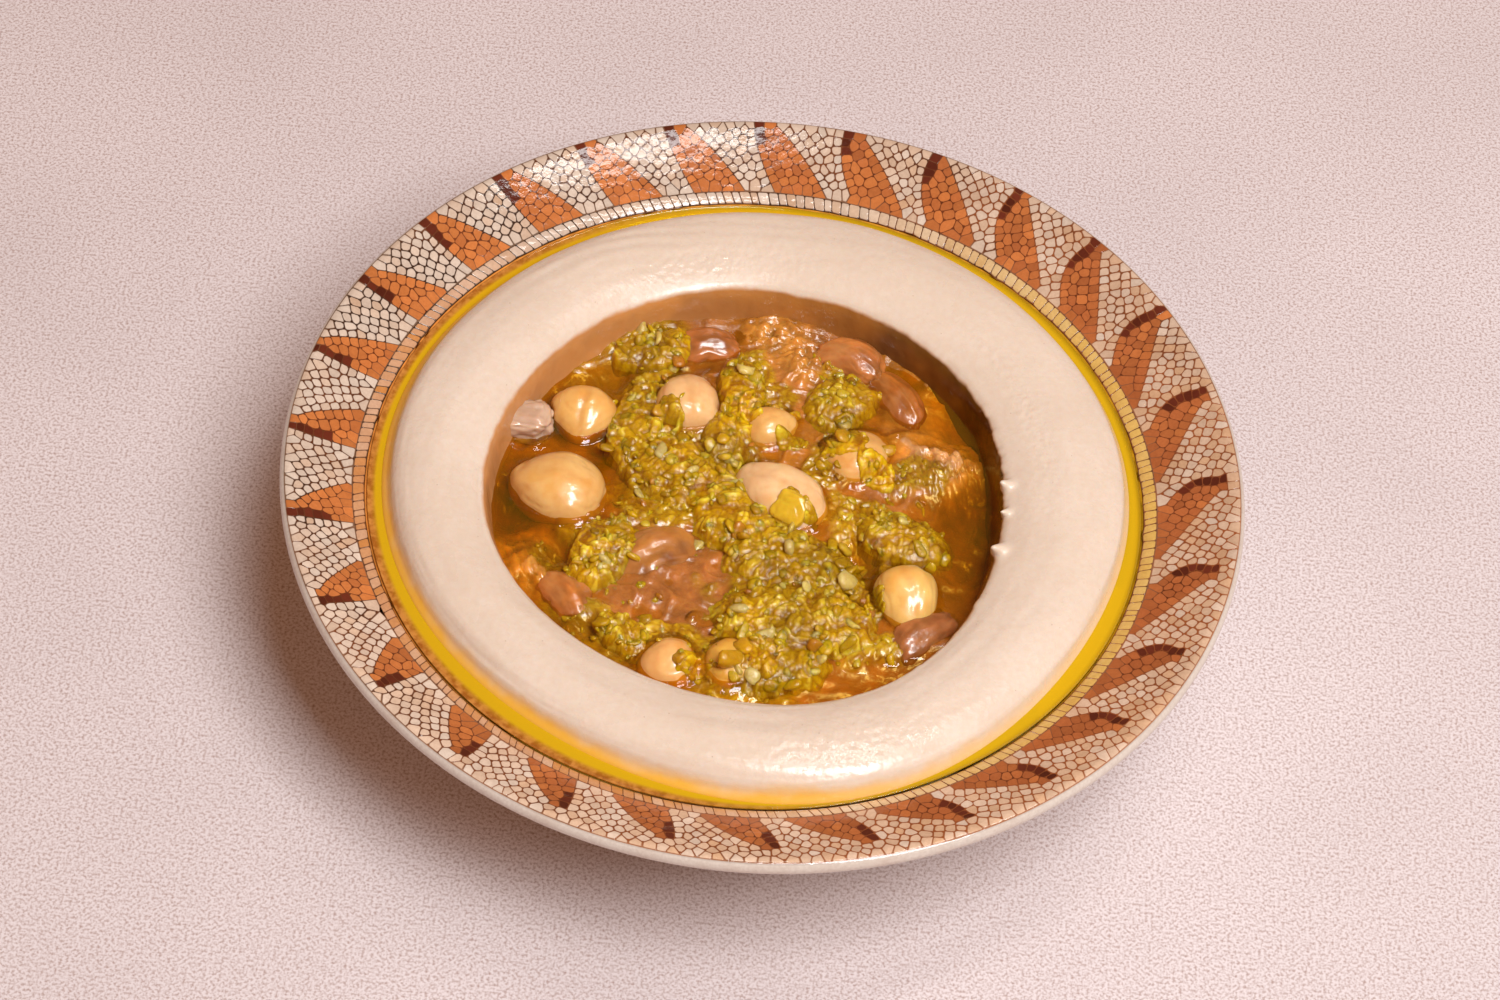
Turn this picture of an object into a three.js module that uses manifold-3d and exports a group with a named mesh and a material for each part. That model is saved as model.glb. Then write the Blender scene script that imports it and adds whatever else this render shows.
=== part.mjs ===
// A bowl of hummus: a glazed bowl with a wide sloping rim, a ring of hummus swept round a deep well, oil
// round the ring and in the well, and a filling of mashed fava beans with chickpeas and chopped green relish.
// Millimetres, +Z up, origin on the table under the middle of the bowl.
import * as THREE from "three";
import { mergeVertices } from "three/addons/utils/BufferGeometryUtils.js";
import Module from "manifold-3d";

const wasm = await Module();
wasm.setup();

const GAP = 0.35; // clearance between pieces that touch
const WALL_GAP = 0.5; // clearance of the filling to the well's wall, whose facets are finer
const TURN_STEPS = 52; // facets round the bowl and the hummus
const FILLING_STEPS = 28; // facets round the filling of the well
const RAD = Math.PI / 180;

// Bowl
const LIP_RADIUS = 1.4; // rounding of the outer lip
const BOWL_RADIUS = 80;
const BOWL_HEIGHT = 38;
const BAND_INNER = 66; // where the sloping rim breaks into the wall
const BAND_DROP = 4.9; // fall of the rim from the lip to its inner edge
const BAND_BOW = 1.15; // above 1 the rim is slightly dished
const FOOT_OUTER = 38.5;
const FOOT_INNER = 35.5;
const FOOT_HEIGHT = 2.8;
const FLOOR_TOP = 6;
const WALL_TOP = 32.3; // height of the wall where the rim begins
const HOLLOW_SHIFT = { x: -1.2, y: -0.95 }; // the hollow was thrown a little off the middle of the lip

// Levels of the contents
const RING_OIL_LEVEL = 31.9; // oil between the hummus and the wall
const RING_OIL_RADIUS = 64.2; // where that oil meets the wall
const RING_OIL_DEPTH = 1.0;
const WELL_OIL_LEVEL = 27.3; // oil in the well
const WELL_FLOOR = 17; // hummus under the filling
const MASH_BASE = 25.4; // mash at the edge of the well
const MASH_RINGS = [34, 25, 14, 0]; // circles of points over the top of the mash

// Hummus ring: the lip of the well and the outer edge at the oil, each a circle with a few gentle lobes. The
// outer edge is measured from the middle of the hollow, the well from the middle of the bowl.
// A lobe adds reach * cos(count * (angle - towards)).
const WELL_RADIUS = 43.8;
const WELL_LOBES = [
  { count: 1, reach: 3.3, towards: 226 },
  { count: 2, reach: 0.45, towards: 104 },
  { count: 3, reach: 0.7, towards: 58 },
  { count: 4, reach: 0.5, towards: 25 },
];
const EDGE_RADIUS = 61.6;
const EDGE_LOBES = [
  { count: 1, reach: 0.75, towards: 23 },
  { count: 2, reach: 0.3, towards: 124 },
  { count: 3, reach: 0.7, towards: 48 },
  { count: 4, reach: 0.4, towards: 12 },
  { count: 5, reach: 0.25, towards: 4 },
];
const SPOON_WAVES = 5; // broad waves left by the spoon along the crest
const SPOON_DEPTH = 0.25;

// Section of the hummus from the wall over the crest into the well. Each row is a radius and a height, then
// how much of the outer edge's and of the well's lobes the point follows.
const HUMMUS_SECTION = [
  { r: 62.2, z: 29.6, edge: 0.4, well: 0, shift: 1 },
  { r: EDGE_RADIUS, z: RING_OIL_LEVEL, edge: 1, well: 0 },
  { r: 60.4, z: 34.6, edge: 0.95, well: 0 },
  { r: 57.8, z: 36.1, edge: 0.7, well: 0.2 },
  { r: 53.2, z: 36.8, edge: 0.4, well: 0.5 },
  { r: 48.6, z: 36.2, edge: 0.1, well: 0.9 },
  { r: 45.4, z: 35.1, edge: 0, well: 1 },
  { r: WELL_RADIUS, z: 34, edge: 0, well: 1 },
  { r: 43.1, z: 32.4, edge: 0, well: 1 },
  { r: 42.4, z: 28, edge: 0, well: 1 },
  { r: 41.4, z: 22, edge: 0, well: 1 },
  { r: 38.5, z: 18.4, edge: 0, well: 0.7 },
  { r: 31, z: WELL_FLOOR, edge: 0, well: 0.2 },
  { r: 0, z: WELL_FLOOR, edge: 0, well: 0 },
];

// Little peaks pulled up on the lip of the well: angle round the bowl, width, height and lean into the well
const PEAK_FOOT = 33.6;
const LIP_PEAKS = [
  { angle: 3, base: 1.6, rise: 2.6, lean: -0.5 },
  { angle: -5, base: 1.2, rise: 2.2, lean: -0.9 },
  { angle: -16, base: 2.0, rise: 3.2, lean: -1.0 },
];

// Mounds of the mash: place, spread and height above MASH_BASE
const MASH_MOUNDS = [
  { x: -2, y: 0, spread: 27, rise: 2.6 },
  { x: 2, y: 28, spread: 14, rise: 2.2 },
  { x: 0, y: -30, spread: 16, rise: 2.4 },
  { x: 24, y: 8, spread: 14, rise: 1.8 },
  { x: -26, y: -20, spread: 12, rise: 1.8 },
  { x: 26, y: -24, spread: 12, rise: 2.0 },
  { x: -20, y: 30, spread: 10, rise: 1.6 },
];

// Chickpeas: middle, then length (through the beak), width, height, the way the beak points, its tilt and how
// deep the cleft is
const CHICKPEAS = [
  { x: -31.5, y: 15.3, z: 27.2, size: [11.4, 12.2, 10.4], turn: -96, tilt: 4, split: 1 },
  { x: -34.0, y: -1.7, z: 27.2, size: [17.3, 14.0, 12.0], turn: 172, tilt: 3, split: 0.3 },
  { x: -14.1, y: 18.9, z: 27.4, size: [12.6, 12.0, 10.6], turn: 100, tilt: 5, split: 0.8 },
  { x: 0.3, y: 15.6, z: 27.0, size: [10.2, 9.0, 9.2], turn: 20, tilt: 0, split: 0.3 },
  { x: 3.3, y: 0.6, z: 27.4, size: [17.8, 12.4, 11.0], turn: 148, tilt: 6, split: 0.6 },
  { x: 15.4, y: 10.8, z: 26.4, size: [13.4, 12.0, 10.0], turn: 40, tilt: 0, split: 0.2 },
  { x: 25.1, y: -18.4, z: 27.4, size: [12.6, 11.2, 10.6], turn: -78, tilt: -8, split: 0.9 },
  { x: -12.8, y: -35.7, z: 26.4, size: [10.4, 9.8, 9.6], turn: 200, tilt: 0, split: 0.3 },
  { x: -2.0, y: -34.8, z: 26.6, size: [11.6, 10.0, 9.8], turn: 10, tilt: 4, split: 0.3 },
];

// Fava beans, mostly sunk in the mash: middle, length, width, thickness, turn and how far the bean is bent
const FAVA_BEANS = [
  { x: 13.4, y: 32.4, z: 27.6, size: [13.4, 8.8, 6.4], turn: -24, bend: 0.30 },
  { x: -16.7, y: -13.6, z: 26.2, size: [16.0, 12.0, 7.6], turn: 38, bend: 0.18 },
  { x: 21.4, y: 25.6, z: 26.0, size: [15.0, 8.0, 6.6], turn: -52, bend: 0.22 },
  { x: 28.2, y: -24.9, z: 26.2, size: [14.4, 9.0, 7.0], turn: 48, bend: 0.20 },
  { x: -30.6, y: -23.4, z: 26.0, size: [12.6, 8.8, 6.8], turn: -50, bend: 0.18 },
  { x: -11.8, y: 33.2, z: 26.4, size: [12.4, 8.8, 6.8], turn: 12, bend: 0.22 },
];

// Heaps of relish: each heap is some overlapping mounds, which are half-lengths along and across, and a turn
const RELISH_HEAPS = {
  relish_middle: [
    { x: -22.4, y: 14.0, half: [9.4, 4.6], turn: 80 },
    { x: -13.2, y: 3.4, half: [10.4, 7.6], turn: -20 },
    { x: -6.6, y: 12.0, half: [8.4, 4.4], turn: 80 },
    { x: -5.2, y: 23.4, half: [6.4, 4.4], turn: 100 },
    { x: -4.6, y: -5.0, half: [8.0, 6.6], turn: -45 },
    { x: 5.6, y: -13.6, half: [12.4, 7.0], turn: -15 },
    { x: 7.0, y: -25.6, half: [13.2, 8.0], turn: 8 },
    { x: 5.6, y: -34.8, half: [8.4, 5.0], turn: 20 },
  ],
  relish_far_left: [{ x: -21.0, y: 30.8, half: [7.6, 5.2], turn: 25 }],
  relish_far_right: [{ x: 12.2, y: 21.8, half: [7.0, 5.6], turn: 45 }],
  relish_left: [{ x: -25.6, y: -14.6, half: [7.6, 5.6], turn: 75 }],
  relish_right: [{ x: 23.6, y: -6.2, half: [8.4, 5.2], turn: -15 }],
  relish_near_left: [{ x: -20.8, y: -30.6, half: [5.6, 3.6], turn: -35 }],
};
const RELISH_RISE = 2.0; // half-height of a mound of relish
const RELISH_LIFT = 0.8; // its middle above the mash
const BIT_SIZE = [3.2, 2.3, 1.7]; // a chopped bit of pepper
const BIT_AREA = 34; // one bit for each so many square millimetres

const POOL_BOTTOM = 24; // no pool is deeper
const POOL_LEAST = 20; // cubic millimetres of the smallest pool kept

const CHUNK_SEED = 7;
const RELISH_SEED = 40;
const HUMMUS_CHUNK = { x: -40.9, y: 12.4, z: 28.2, size: [9.0, 8.2, 6.4] };
const PEPPER_PIECE = { x: 4.6, y: -4.2, z: 30.7, size: [6.4, 5.6, 3.0], turn: 70, tilt: 38 };

const COLOURS = {
  bowl: 0xd9c4ae,
  hummus: 0xecd6b8,
  oil: 0xc99a12,
  mash: 0x8c5a3e,
  bean: 0x8a5650,
  relish: 0x8c8a1e,
  pepper: 0xc9a820,
  chickpea: 0xe2b878,
  chunk: 0xc8b096,
};

// Helpers ---------------------------------------------------------------------------------------------------

function seededRandom(seed) {
  let state = seed;
  return () => {
    state = (state * 1664525 + 1013904223) % 4294967296;
    return state / 4294967296;
  };
}

function bareGeometry(geometry) {
  const bare = new THREE.BufferGeometry();
  bare.setAttribute("position", geometry.getAttribute("position"));
  bare.setIndex(geometry.getIndex());
  return mergeVertices(bare, 1e-3);
}

function solidOf(geometry) {
  const merged = bareGeometry(geometry);
  return new wasm.Manifold(
    new wasm.Mesh({
      numProp: 3,
      vertProperties: merged.getAttribute("position").array,
      triVerts: new Uint32Array(merged.getIndex().array),
    }),
  );
}

function geometryOf(solid) {
  const mesh = solid.getMesh();
  const geometry = new THREE.BufferGeometry();
  geometry.setAttribute("position", new THREE.BufferAttribute(new Float32Array(mesh.vertProperties), 3));
  geometry.setIndex(new THREE.BufferAttribute(new Uint32Array(mesh.triVerts), 1));
  geometry.computeVertexNormals();
  return geometry;
}

// The largest of the bodies that a cut leaves; loose scraps are dropped.
function largestBody(solid) {
  return solid.decompose().sort((a, b) => b.volume() - a.volume())[0];
}

function trimmed(solid, cutters) {
  return largestBody(cutters.reduce((left, cutter) => left.subtract(cutter), solid));
}

function eachVertex(geometry, change) {
  const position = geometry.getAttribute("position");
  const vertex = new THREE.Vector3();
  for (let i = 0; i < position.count; i += 1) {
    vertex.fromBufferAttribute(position, i);
    change(vertex, i);
    position.setXYZ(i, vertex.x, vertex.y, vertex.z);
  }
  return geometry;
}

// A profile of {r, z} turned about +Z. The shape function may move each point for its angle round the axis.
// A point's shift is its share of the hollow's distance from the middle of the bowl.
function turned(profile, shape = (point) => point, steps = TURN_STEPS) {
  const points = profile.map((point) => new THREE.Vector2(point.r, point.z));
  const geometry = new THREE.LatheGeometry(points, steps);
  return eachVertex(geometry, (vertex, i) => {
    const row = Math.floor(i / profile.length) % steps;
    const angle = (row * 2 * Math.PI) / steps;
    const point = shape(profile[i % profile.length], angle);
    const shift = point.shift ?? 0;
    vertex.set(
      point.r * Math.cos(angle) + shift * HOLLOW_SHIFT.x,
      point.r * Math.sin(angle) + shift * HOLLOW_SHIFT.y,
      point.z,
    );
  });
}

function wander(lobes, angle) {
  return lobes.reduce((sum, lobe) => {
    return sum + lobe.reach * Math.cos(lobe.count * (angle - lobe.towards * RAD));
  }, 0);
}

function mashTop(x, y) {
  return MASH_MOUNDS.reduce((height, mound) => {
    const away = Math.hypot(x - mound.x, y - mound.y) / mound.spread;
    return height + mound.rise * Math.exp(-away * away);
  }, MASH_BASE);
}

// Bowl ------------------------------------------------------------------------------------------------------

const bowlInside = new THREE.SplineCurve([
  new THREE.Vector2(0, FLOOR_TOP),
  new THREE.Vector2(28, FLOOR_TOP + 0.4),
  new THREE.Vector2(44, 9.4),
  new THREE.Vector2(54, 15.6),
  new THREE.Vector2(60, 22.8),
  new THREE.Vector2(63.2, 29),
  new THREE.Vector2(65, WALL_TOP),
]);
const INSIDE_STEPS = 5;

const bowlOutside = new THREE.SplineCurve([
  new THREE.Vector2(FOOT_OUTER + 0.7, FOOT_HEIGHT),
  new THREE.Vector2(46, 4.8),
  new THREE.Vector2(56, 11.4),
  new THREE.Vector2(63.5, 21),
  new THREE.Vector2(68.6, 29),
  new THREE.Vector2(73.5, 32.6),
  new THREE.Vector2(78.4, 35.0),
]);
const OUTSIDE_STEPS = 5;

// The wall's inside, moved into the hollow by a clearance, from the axis up to a height
function insideOffset(clearance, top) {
  const rows = [];
  for (let i = 0; i <= INSIDE_STEPS; i += 1) {
    const point = bowlInside.getPoint(i / INSIDE_STEPS);
    const along = bowlInside.getTangent(i / INSIDE_STEPS);
    const r = i === 0 ? 0 : point.x - clearance * along.y;
    const z = point.y + clearance * along.x;
    if (z < top) rows.push({ r, z, edge: 0, well: 0, shift: i > 0 ? 1 : 0 });
  }
  return rows;
}

function bandHeight(r) {
  const bandEnd = BOWL_RADIUS - LIP_RADIUS * 1.35;
  const bandTop = BOWL_HEIGHT - 0.1;
  const share = (r - BAND_INNER) / (bandEnd - BAND_INNER);
  return bandTop - BAND_DROP + BAND_DROP * Math.pow(share, BAND_BOW);
}

function bowlGeometry() {
  const profile = [
    { r: 0, z: FOOT_HEIGHT },
    { r: FOOT_INNER - 0.8, z: FOOT_HEIGHT - 0.3 },
    { r: FOOT_INNER, z: 0 },
    { r: FOOT_OUTER, z: 0 },
  ];
  bowlOutside.getPoints(OUTSIDE_STEPS).forEach((point) => profile.push({ r: point.x, z: point.y }));
  const middle = { r: BOWL_RADIUS - LIP_RADIUS, z: BOWL_HEIGHT - LIP_RADIUS };
  for (let turn = -45; turn <= 90; turn += 45) {
    profile.push({
      r: middle.r + LIP_RADIUS * Math.cos(turn * RAD),
      z: middle.z + LIP_RADIUS * Math.sin(turn * RAD),
    });
  }
  for (let step = 3; step >= 0; step -= 1) {
    const r = BAND_INNER + 3.4 * step;
    profile.push({ r, z: bandHeight(r), shift: 1 - (r - BAND_INNER) / (BOWL_RADIUS - BAND_INNER) });
  }
  bowlInside.getPoints(INSIDE_STEPS).reverse().forEach((point) => {
    profile.push({ r: point.x, z: point.y, shift: point.x > 0 ? 1 : 0 });
  });
  return turned(profile);
}

// Hummus and oil --------------------------------------------------------------------------------------------

function followLobes(point, angle) {
  const top = Math.max(0, (point.z - 33) / 4);
  return {
    r: point.r + point.edge * wander(EDGE_LOBES, angle) + point.well * wander(WELL_LOBES, angle),
    z: point.z + top * SPOON_DEPTH * Math.sin(SPOON_WAVES * angle + point.r / 6),
    shift: point.shift ?? point.edge,
  };
}

function peakSolid(peak) {
  const angle = peak.angle * RAD;
  const r = WELL_RADIUS + wander(WELL_LOBES, angle) + 0.9;
  const cone = new THREE.ConeGeometry(peak.base, peak.rise, 7);
  cone.rotateX(Math.PI / 2);
  cone.translate(0, 0, peak.rise / 2);
  eachVertex(cone, (vertex) => {
    vertex.x += (peak.lean * vertex.z) / peak.rise;
  });
  cone.rotateZ(angle);
  cone.translate(r * Math.cos(angle), r * Math.sin(angle), PEAK_FOOT);
  return solidOf(cone);
}

function hummusSolid() {
  const profile = insideOffset(GAP, 30).concat(HUMMUS_SECTION);
  const ring = solidOf(turned(profile, followLobes));
  return LIP_PEAKS.reduce((solid, peak) => solid.add(peakSolid(peak)), ring);
}

// Oil in the groove between the hummus and the wall
function ringOilGeometry() {
  const top = RING_OIL_LEVEL;
  const bottom = RING_OIL_LEVEL - RING_OIL_DEPTH;
  const section = [
    { r: RING_OIL_RADIUS, z: top, edge: 0 },
    { r: EDGE_RADIUS + GAP, z: top, edge: 1 },
    { r: EDGE_RADIUS + 2 * GAP, z: bottom, edge: 0.8 },
    { r: RING_OIL_RADIUS - GAP, z: bottom, edge: 0 },
    { r: RING_OIL_RADIUS, z: top, edge: 0 },
  ].map((point) => ({ ...point, well: 0, shift: 1 }));
  return turned(section, (point, angle) => ({ ...followLobes(point, angle), z: point.z }));
}

// The well's wall as rows between two heights, moved a clearance into the well
function wellWall(bottom, top, clearance) {
  const wall = HUMMUS_SECTION.filter((point) => point.well > 0 && point.z <= 34).reverse();
  const between = (z) => {
    const above = Math.max(1, wall.findIndex((point) => point.z >= z));
    const low = wall[above - 1];
    const high = wall[above];
    const share = THREE.MathUtils.clamp((z - low.z) / (high.z - low.z), 0, 1);
    const r = THREE.MathUtils.lerp(low.r, high.r, share);
    return { r, z, edge: 0, well: THREE.MathUtils.lerp(low.well, high.well, share) };
  };
  const inner = wall.filter((point) => point.z > bottom && point.z < top);
  return [between(bottom), ...inner, between(top)].map((point) => ({ ...point, r: point.r - clearance }));
}

// The well as a solid column between two heights
function wellColumn(bottom, top) {
  const rows = wellWall(bottom, top, WALL_GAP);
  const profile = [{ r: 0, z: bottom, edge: 0, well: 0 }, ...rows, { r: 0, z: top, edge: 0, well: 0 }];
  const shape = (point, angle) => ({ ...followLobes(point, angle), z: point.z });
  return solidOf(turned(profile, shape, FILLING_STEPS));
}

// Mash with its top raised by a lift. Without a lift it is the mash itself. With one it is the cutter for what
// lies on it, and reaches into the wall.
function mashSolid(lift) {
  const rim = wellWall(WELL_FLOOR + GAP, MASH_BASE + 0.6, lift > 0 ? -1 : WALL_GAP);
  const bottom = { r: 0, z: WELL_FLOOR + GAP, edge: 0, well: 0 };
  const top = MASH_RINGS.map((r) => ({ r, z: 0, edge: 0, well: r / 44, onTop: true }));
  rim[rim.length - 1].onTop = true;
  const shape = (point, angle) => {
    const moved = followLobes(point, angle);
    if (!point.onTop) return { r: moved.r, z: point.z };
    return { r: moved.r, z: mashTop(moved.r * Math.cos(angle), moved.r * Math.sin(angle)) + lift };
  };
  return solidOf(turned([bottom, ...rim, ...top], shape, FILLING_STEPS));
}

// Toppings --------------------------------------------------------------------------------------------------

function placed(geometry, item) {
  geometry.rotateY((-(item.tilt ?? 0)) * RAD);
  geometry.rotateZ((item.turn ?? 0) * RAD);
  geometry.translate(item.x, item.y, item.z);
  return geometry;
}

// Unit ball with its poles along X, so that the finer rings lie at a bean's ends. A cutter's ball is coarser,
// and swollen so that its flats stay outside the fine one.
const FINE_BALL = { around: 12, along: 7, swell: 1 };
const CUTTER_BALL = { around: 7, along: 5, swell: 1.14 };

function unitBall(kind) {
  return new THREE.SphereGeometry(1, kind.around, kind.along).rotateZ(Math.PI / 2);
}

// A chickpea lies with its beak along +X and its cleft over the top.
const BEAK_REACH = 0.22;
const CLEFT_DEPTH = 0.09;
const CLEFT_WIDTH = 0.2;

function chickpeaGeometry(item, kind = FINE_BALL, clearance = 0) {
  const half = item.size.map((size) => (size / 2) * kind.swell);
  const ball = eachVertex(unitBall(kind), (vertex) => {
    const beak = BEAK_REACH * Math.exp((vertex.x - 1) / BEAK_REACH);
    const shoulder = 1 - 0.1 * Math.max(0, vertex.x);
    const groove = item.split * Math.exp(-Math.pow(vertex.y / CLEFT_WIDTH, 2)) * Math.max(0, vertex.z);
    const cleft = kind === FINE_BALL ? CLEFT_DEPTH * groove : 0;
    vertex.set(
      (vertex.x * 0.9 + beak - 0.05) * half[0],
      vertex.y * half[1] * shoulder,
      vertex.z * half[2] * shoulder * (1 - cleft),
    );
    vertex.addScaledVector(vertex.clone().normalize(), clearance);
  });
  return placed(ball, item);
}

// A bean is a flattened ball bent sideways, with a shallow notch on its inner side.
const NOTCH_DEPTH = 0.12;
const NOTCH_WIDTH = 0.3;

function beanGeometry(item, kind = FINE_BALL, clearance = 0) {
  const half = item.size.map((size) => (size / 2) * kind.swell);
  const ball = eachVertex(unitBall(kind), (vertex) => {
    const bow = item.bend * (0.5 - vertex.x * vertex.x);
    const groove = Math.exp(-Math.pow(vertex.x / NOTCH_WIDTH, 2)) * Math.max(0, -vertex.y);
    const notch = kind === FINE_BALL ? NOTCH_DEPTH * groove : 0;
    vertex.set(vertex.x * half[0], (vertex.y + bow + notch) * half[1], vertex.z * half[2]);
    vertex.addScaledVector(vertex.clone().normalize(), clearance);
  });
  return placed(ball, item);
}

// A rough lump: a ball whose corners are moved in and out at random
function chunkGeometry(item, clearance = 0) {
  const random = seededRandom(CHUNK_SEED);
  const lump = bareGeometry(new THREE.IcosahedronGeometry(0.5, 1));
  eachVertex(lump, (vertex) => {
    const rough = 0.86 + 0.24 * random();
    vertex.multiply(new THREE.Vector3(...item.size)).multiplyScalar(rough);
    vertex.addScaledVector(vertex.clone().normalize(), clearance);
  });
  return placed(lump, item);
}

// A flat diced piece with its corners rounded off and its edges turned down
function pepperGeometry(clearance = 0) {
  const size = PEPPER_PIECE.size.map((side) => side + 2 * clearance);
  const slab = bareGeometry(new THREE.BoxGeometry(...size, 2, 2, 1));
  eachVertex(slab, (vertex) => {
    const corner = Math.abs(vertex.x * vertex.y) > 1;
    vertex.multiplyScalar(corner ? 0.84 : 1);
    vertex.z -= 0.02 * (vertex.x * vertex.x + vertex.y * vertex.y);
  });
  return placed(slab, PEPPER_PIECE);
}

// A chopped bit: a box with its corners moved at random, tumbled a little
const CORNER_SHIFT = [0.9, 0.7, 0.5];
const TUMBLE = 1.2;

function bitSolid(random, x, y, z) {
  const size = BIT_SIZE.map((side) => side * (0.75 + 0.5 * random()));
  const box = bareGeometry(new THREE.BoxGeometry(...size));
  eachVertex(box, (vertex) => {
    vertex.x += (random() - 0.5) * CORNER_SHIFT[0];
    vertex.y += (random() - 0.5) * CORNER_SHIFT[1];
    vertex.z += (random() - 0.5) * CORNER_SHIFT[2];
  });
  box.rotateX((random() - 0.5) * TUMBLE);
  box.rotateY((random() - 0.5) * TUMBLE);
  box.rotateZ(random() * Math.PI);
  box.translate(x, y, z);
  return solidOf(box);
}

function moundGeometry(mound, clearance = 0) {
  const ball = new THREE.SphereGeometry(1, 9, 5).rotateX(Math.PI / 2);
  ball.scale(mound.half[0] + clearance, mound.half[1] + clearance, RELISH_RISE + clearance);
  return placed(ball, { ...mound, z: mashTop(mound.x, mound.y) + RELISH_LIFT });
}

const GOLDEN_ANGLE = 2.39996;
const BIT_SPREAD = 0.92; // share of a mound's half-lengths that its bits reach

// A heap: its mounds joined, with chopped bits fused on, kept inside the well and clear of its neighbours
function relishSolid(mounds, seed, inside, cutters) {
  const random = seededRandom(seed);
  let heap = solidOf(moundGeometry(mounds[0]));
  mounds.slice(1).forEach((mound) => {
    heap = heap.add(solidOf(moundGeometry(mound)));
  });
  mounds.forEach((mound) => {
    const count = Math.round((Math.PI * mound.half[0] * mound.half[1]) / BIT_AREA);
    for (let i = 0; i < count; i += 1) {
      // Even spread over the mound: the golden angle, with the radius as the root of the share
      const share = Math.sqrt((i + 0.5) / count) * BIT_SPREAD;
      const round = i * GOLDEN_ANGLE + random() * 0.5;
      const along = share * mound.half[0] * Math.cos(round);
      const across = share * mound.half[1] * Math.sin(round);
      const turn = mound.turn * RAD;
      const x = mound.x + along * Math.cos(turn) - across * Math.sin(turn);
      const y = mound.y + along * Math.sin(turn) + across * Math.cos(turn);
      const rise = RELISH_LIFT + RELISH_RISE * Math.sqrt(1 - share * share);
      heap = heap.add(bitSolid(random, x, y, mashTop(mound.x, mound.y) + rise));
    }
  });
  return trimmed(heap.intersect(inside), cutters);
}

// Assembly --------------------------------------------------------------------------------------------------

const food = new THREE.Group();

function addNode(name, geometry, colour, roughness, opacity = 1) {
  const material = new THREE.MeshStandardMaterial({ color: colour, roughness, metalness: 0 });
  material.transparent = opacity < 1;
  material.opacity = opacity;
  const mesh = new THREE.Mesh(geometry, material);
  mesh.name = name;
  food.add(mesh);
}

const chickpeaCutters = CHICKPEAS.map((item) => solidOf(chickpeaGeometry(item, CUTTER_BALL, GAP)));
const beanCutters = FAVA_BEANS.map((item) => solidOf(beanGeometry(item, CUTTER_BALL, GAP)));
const chunkCutter = solidOf(chunkGeometry(HUMMUS_CHUNK, GAP));
const pepperCutter = solidOf(pepperGeometry(GAP));
const raisedMash = mashSolid(GAP);
const well = wellColumn(WELL_FLOOR + GAP, 34);

addNode("bowl", bowlGeometry(), COLOURS.bowl, 0.2);
addNode("hummus", geometryOf(hummusSolid()), COLOURS.hummus, 0.45);
addNode("oil_ring", ringOilGeometry(), COLOURS.oil, 0.05, 0.8);

const mash = trimmed(mashSolid(0), [...chickpeaCutters, ...beanCutters, chunkCutter, pepperCutter]);
addNode("fava_mash", geometryOf(mash), COLOURS.mash, 0.35);

CHICKPEAS.forEach((item, i) => {
  addNode(`chickpea_${i + 1}`, chickpeaGeometry(item), COLOURS.chickpea, 0.3);
});

FAVA_BEANS.forEach((item, i) => {
  const whole = solidOf(beanGeometry(item)).intersect(well);
  const bean = trimmed(whole, [...chickpeaCutters, ...beanCutters.slice(0, i)]);
  addNode(`fava_bean_${i + 1}`, geometryOf(bean), COLOURS.bean, 0.25);
});

Object.entries(RELISH_HEAPS).forEach(([name, mounds], i) => {
  const cutters = [raisedMash, ...chickpeaCutters, ...beanCutters, pepperCutter];
  addNode(name, geometryOf(relishSolid(mounds, RELISH_SEED + i, well, cutters)), COLOURS.relish, 0.3);
});

const chunk = trimmed(solidOf(chunkGeometry(HUMMUS_CHUNK)).intersect(well), chickpeaCutters);
addNode("hummus_chunk", geometryOf(chunk), COLOURS.chunk, 0.4);
const pepper = trimmed(solidOf(pepperGeometry()), chickpeaCutters);
addNode("pepper_piece", geometryOf(pepper), COLOURS.pepper, 0.25);

// Oil in the well: the well up to the oil's level, less the mash and all that stands in it. Several pools are
// left, and the larger ones are kept.
const standing = [raisedMash, ...chickpeaCutters, ...beanCutters, chunkCutter, pepperCutter];
Object.values(RELISH_HEAPS).flat().forEach((mound) => {
  standing.push(solidOf(moundGeometry(mound, BIT_SIZE[1])));
});
const wholePool = wellColumn(POOL_BOTTOM, WELL_OIL_LEVEL);
const oil = standing.reduce((left, cutter) => left.subtract(cutter), wholePool);
const pools = oil.decompose().filter((body) => body.volume() > POOL_LEAST);
pools.sort((a, b) => b.volume() - a.volume());
pools.forEach((pool, i) => addNode(`oil_pool_${i + 1}`, geometryOf(pool), COLOURS.oil, 0.05, 0.8));

export default food;
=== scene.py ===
"""A bowl of hummus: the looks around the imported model. Lengths are in millimetres until a mesh is made."""

import math

import bmesh
import bpy
import numpy as np
from mathutils import Matrix, Vector
from mathutils.bvhtree import BVHTree
from mathutils.geometry import delaunay_2d_cdt


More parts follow.
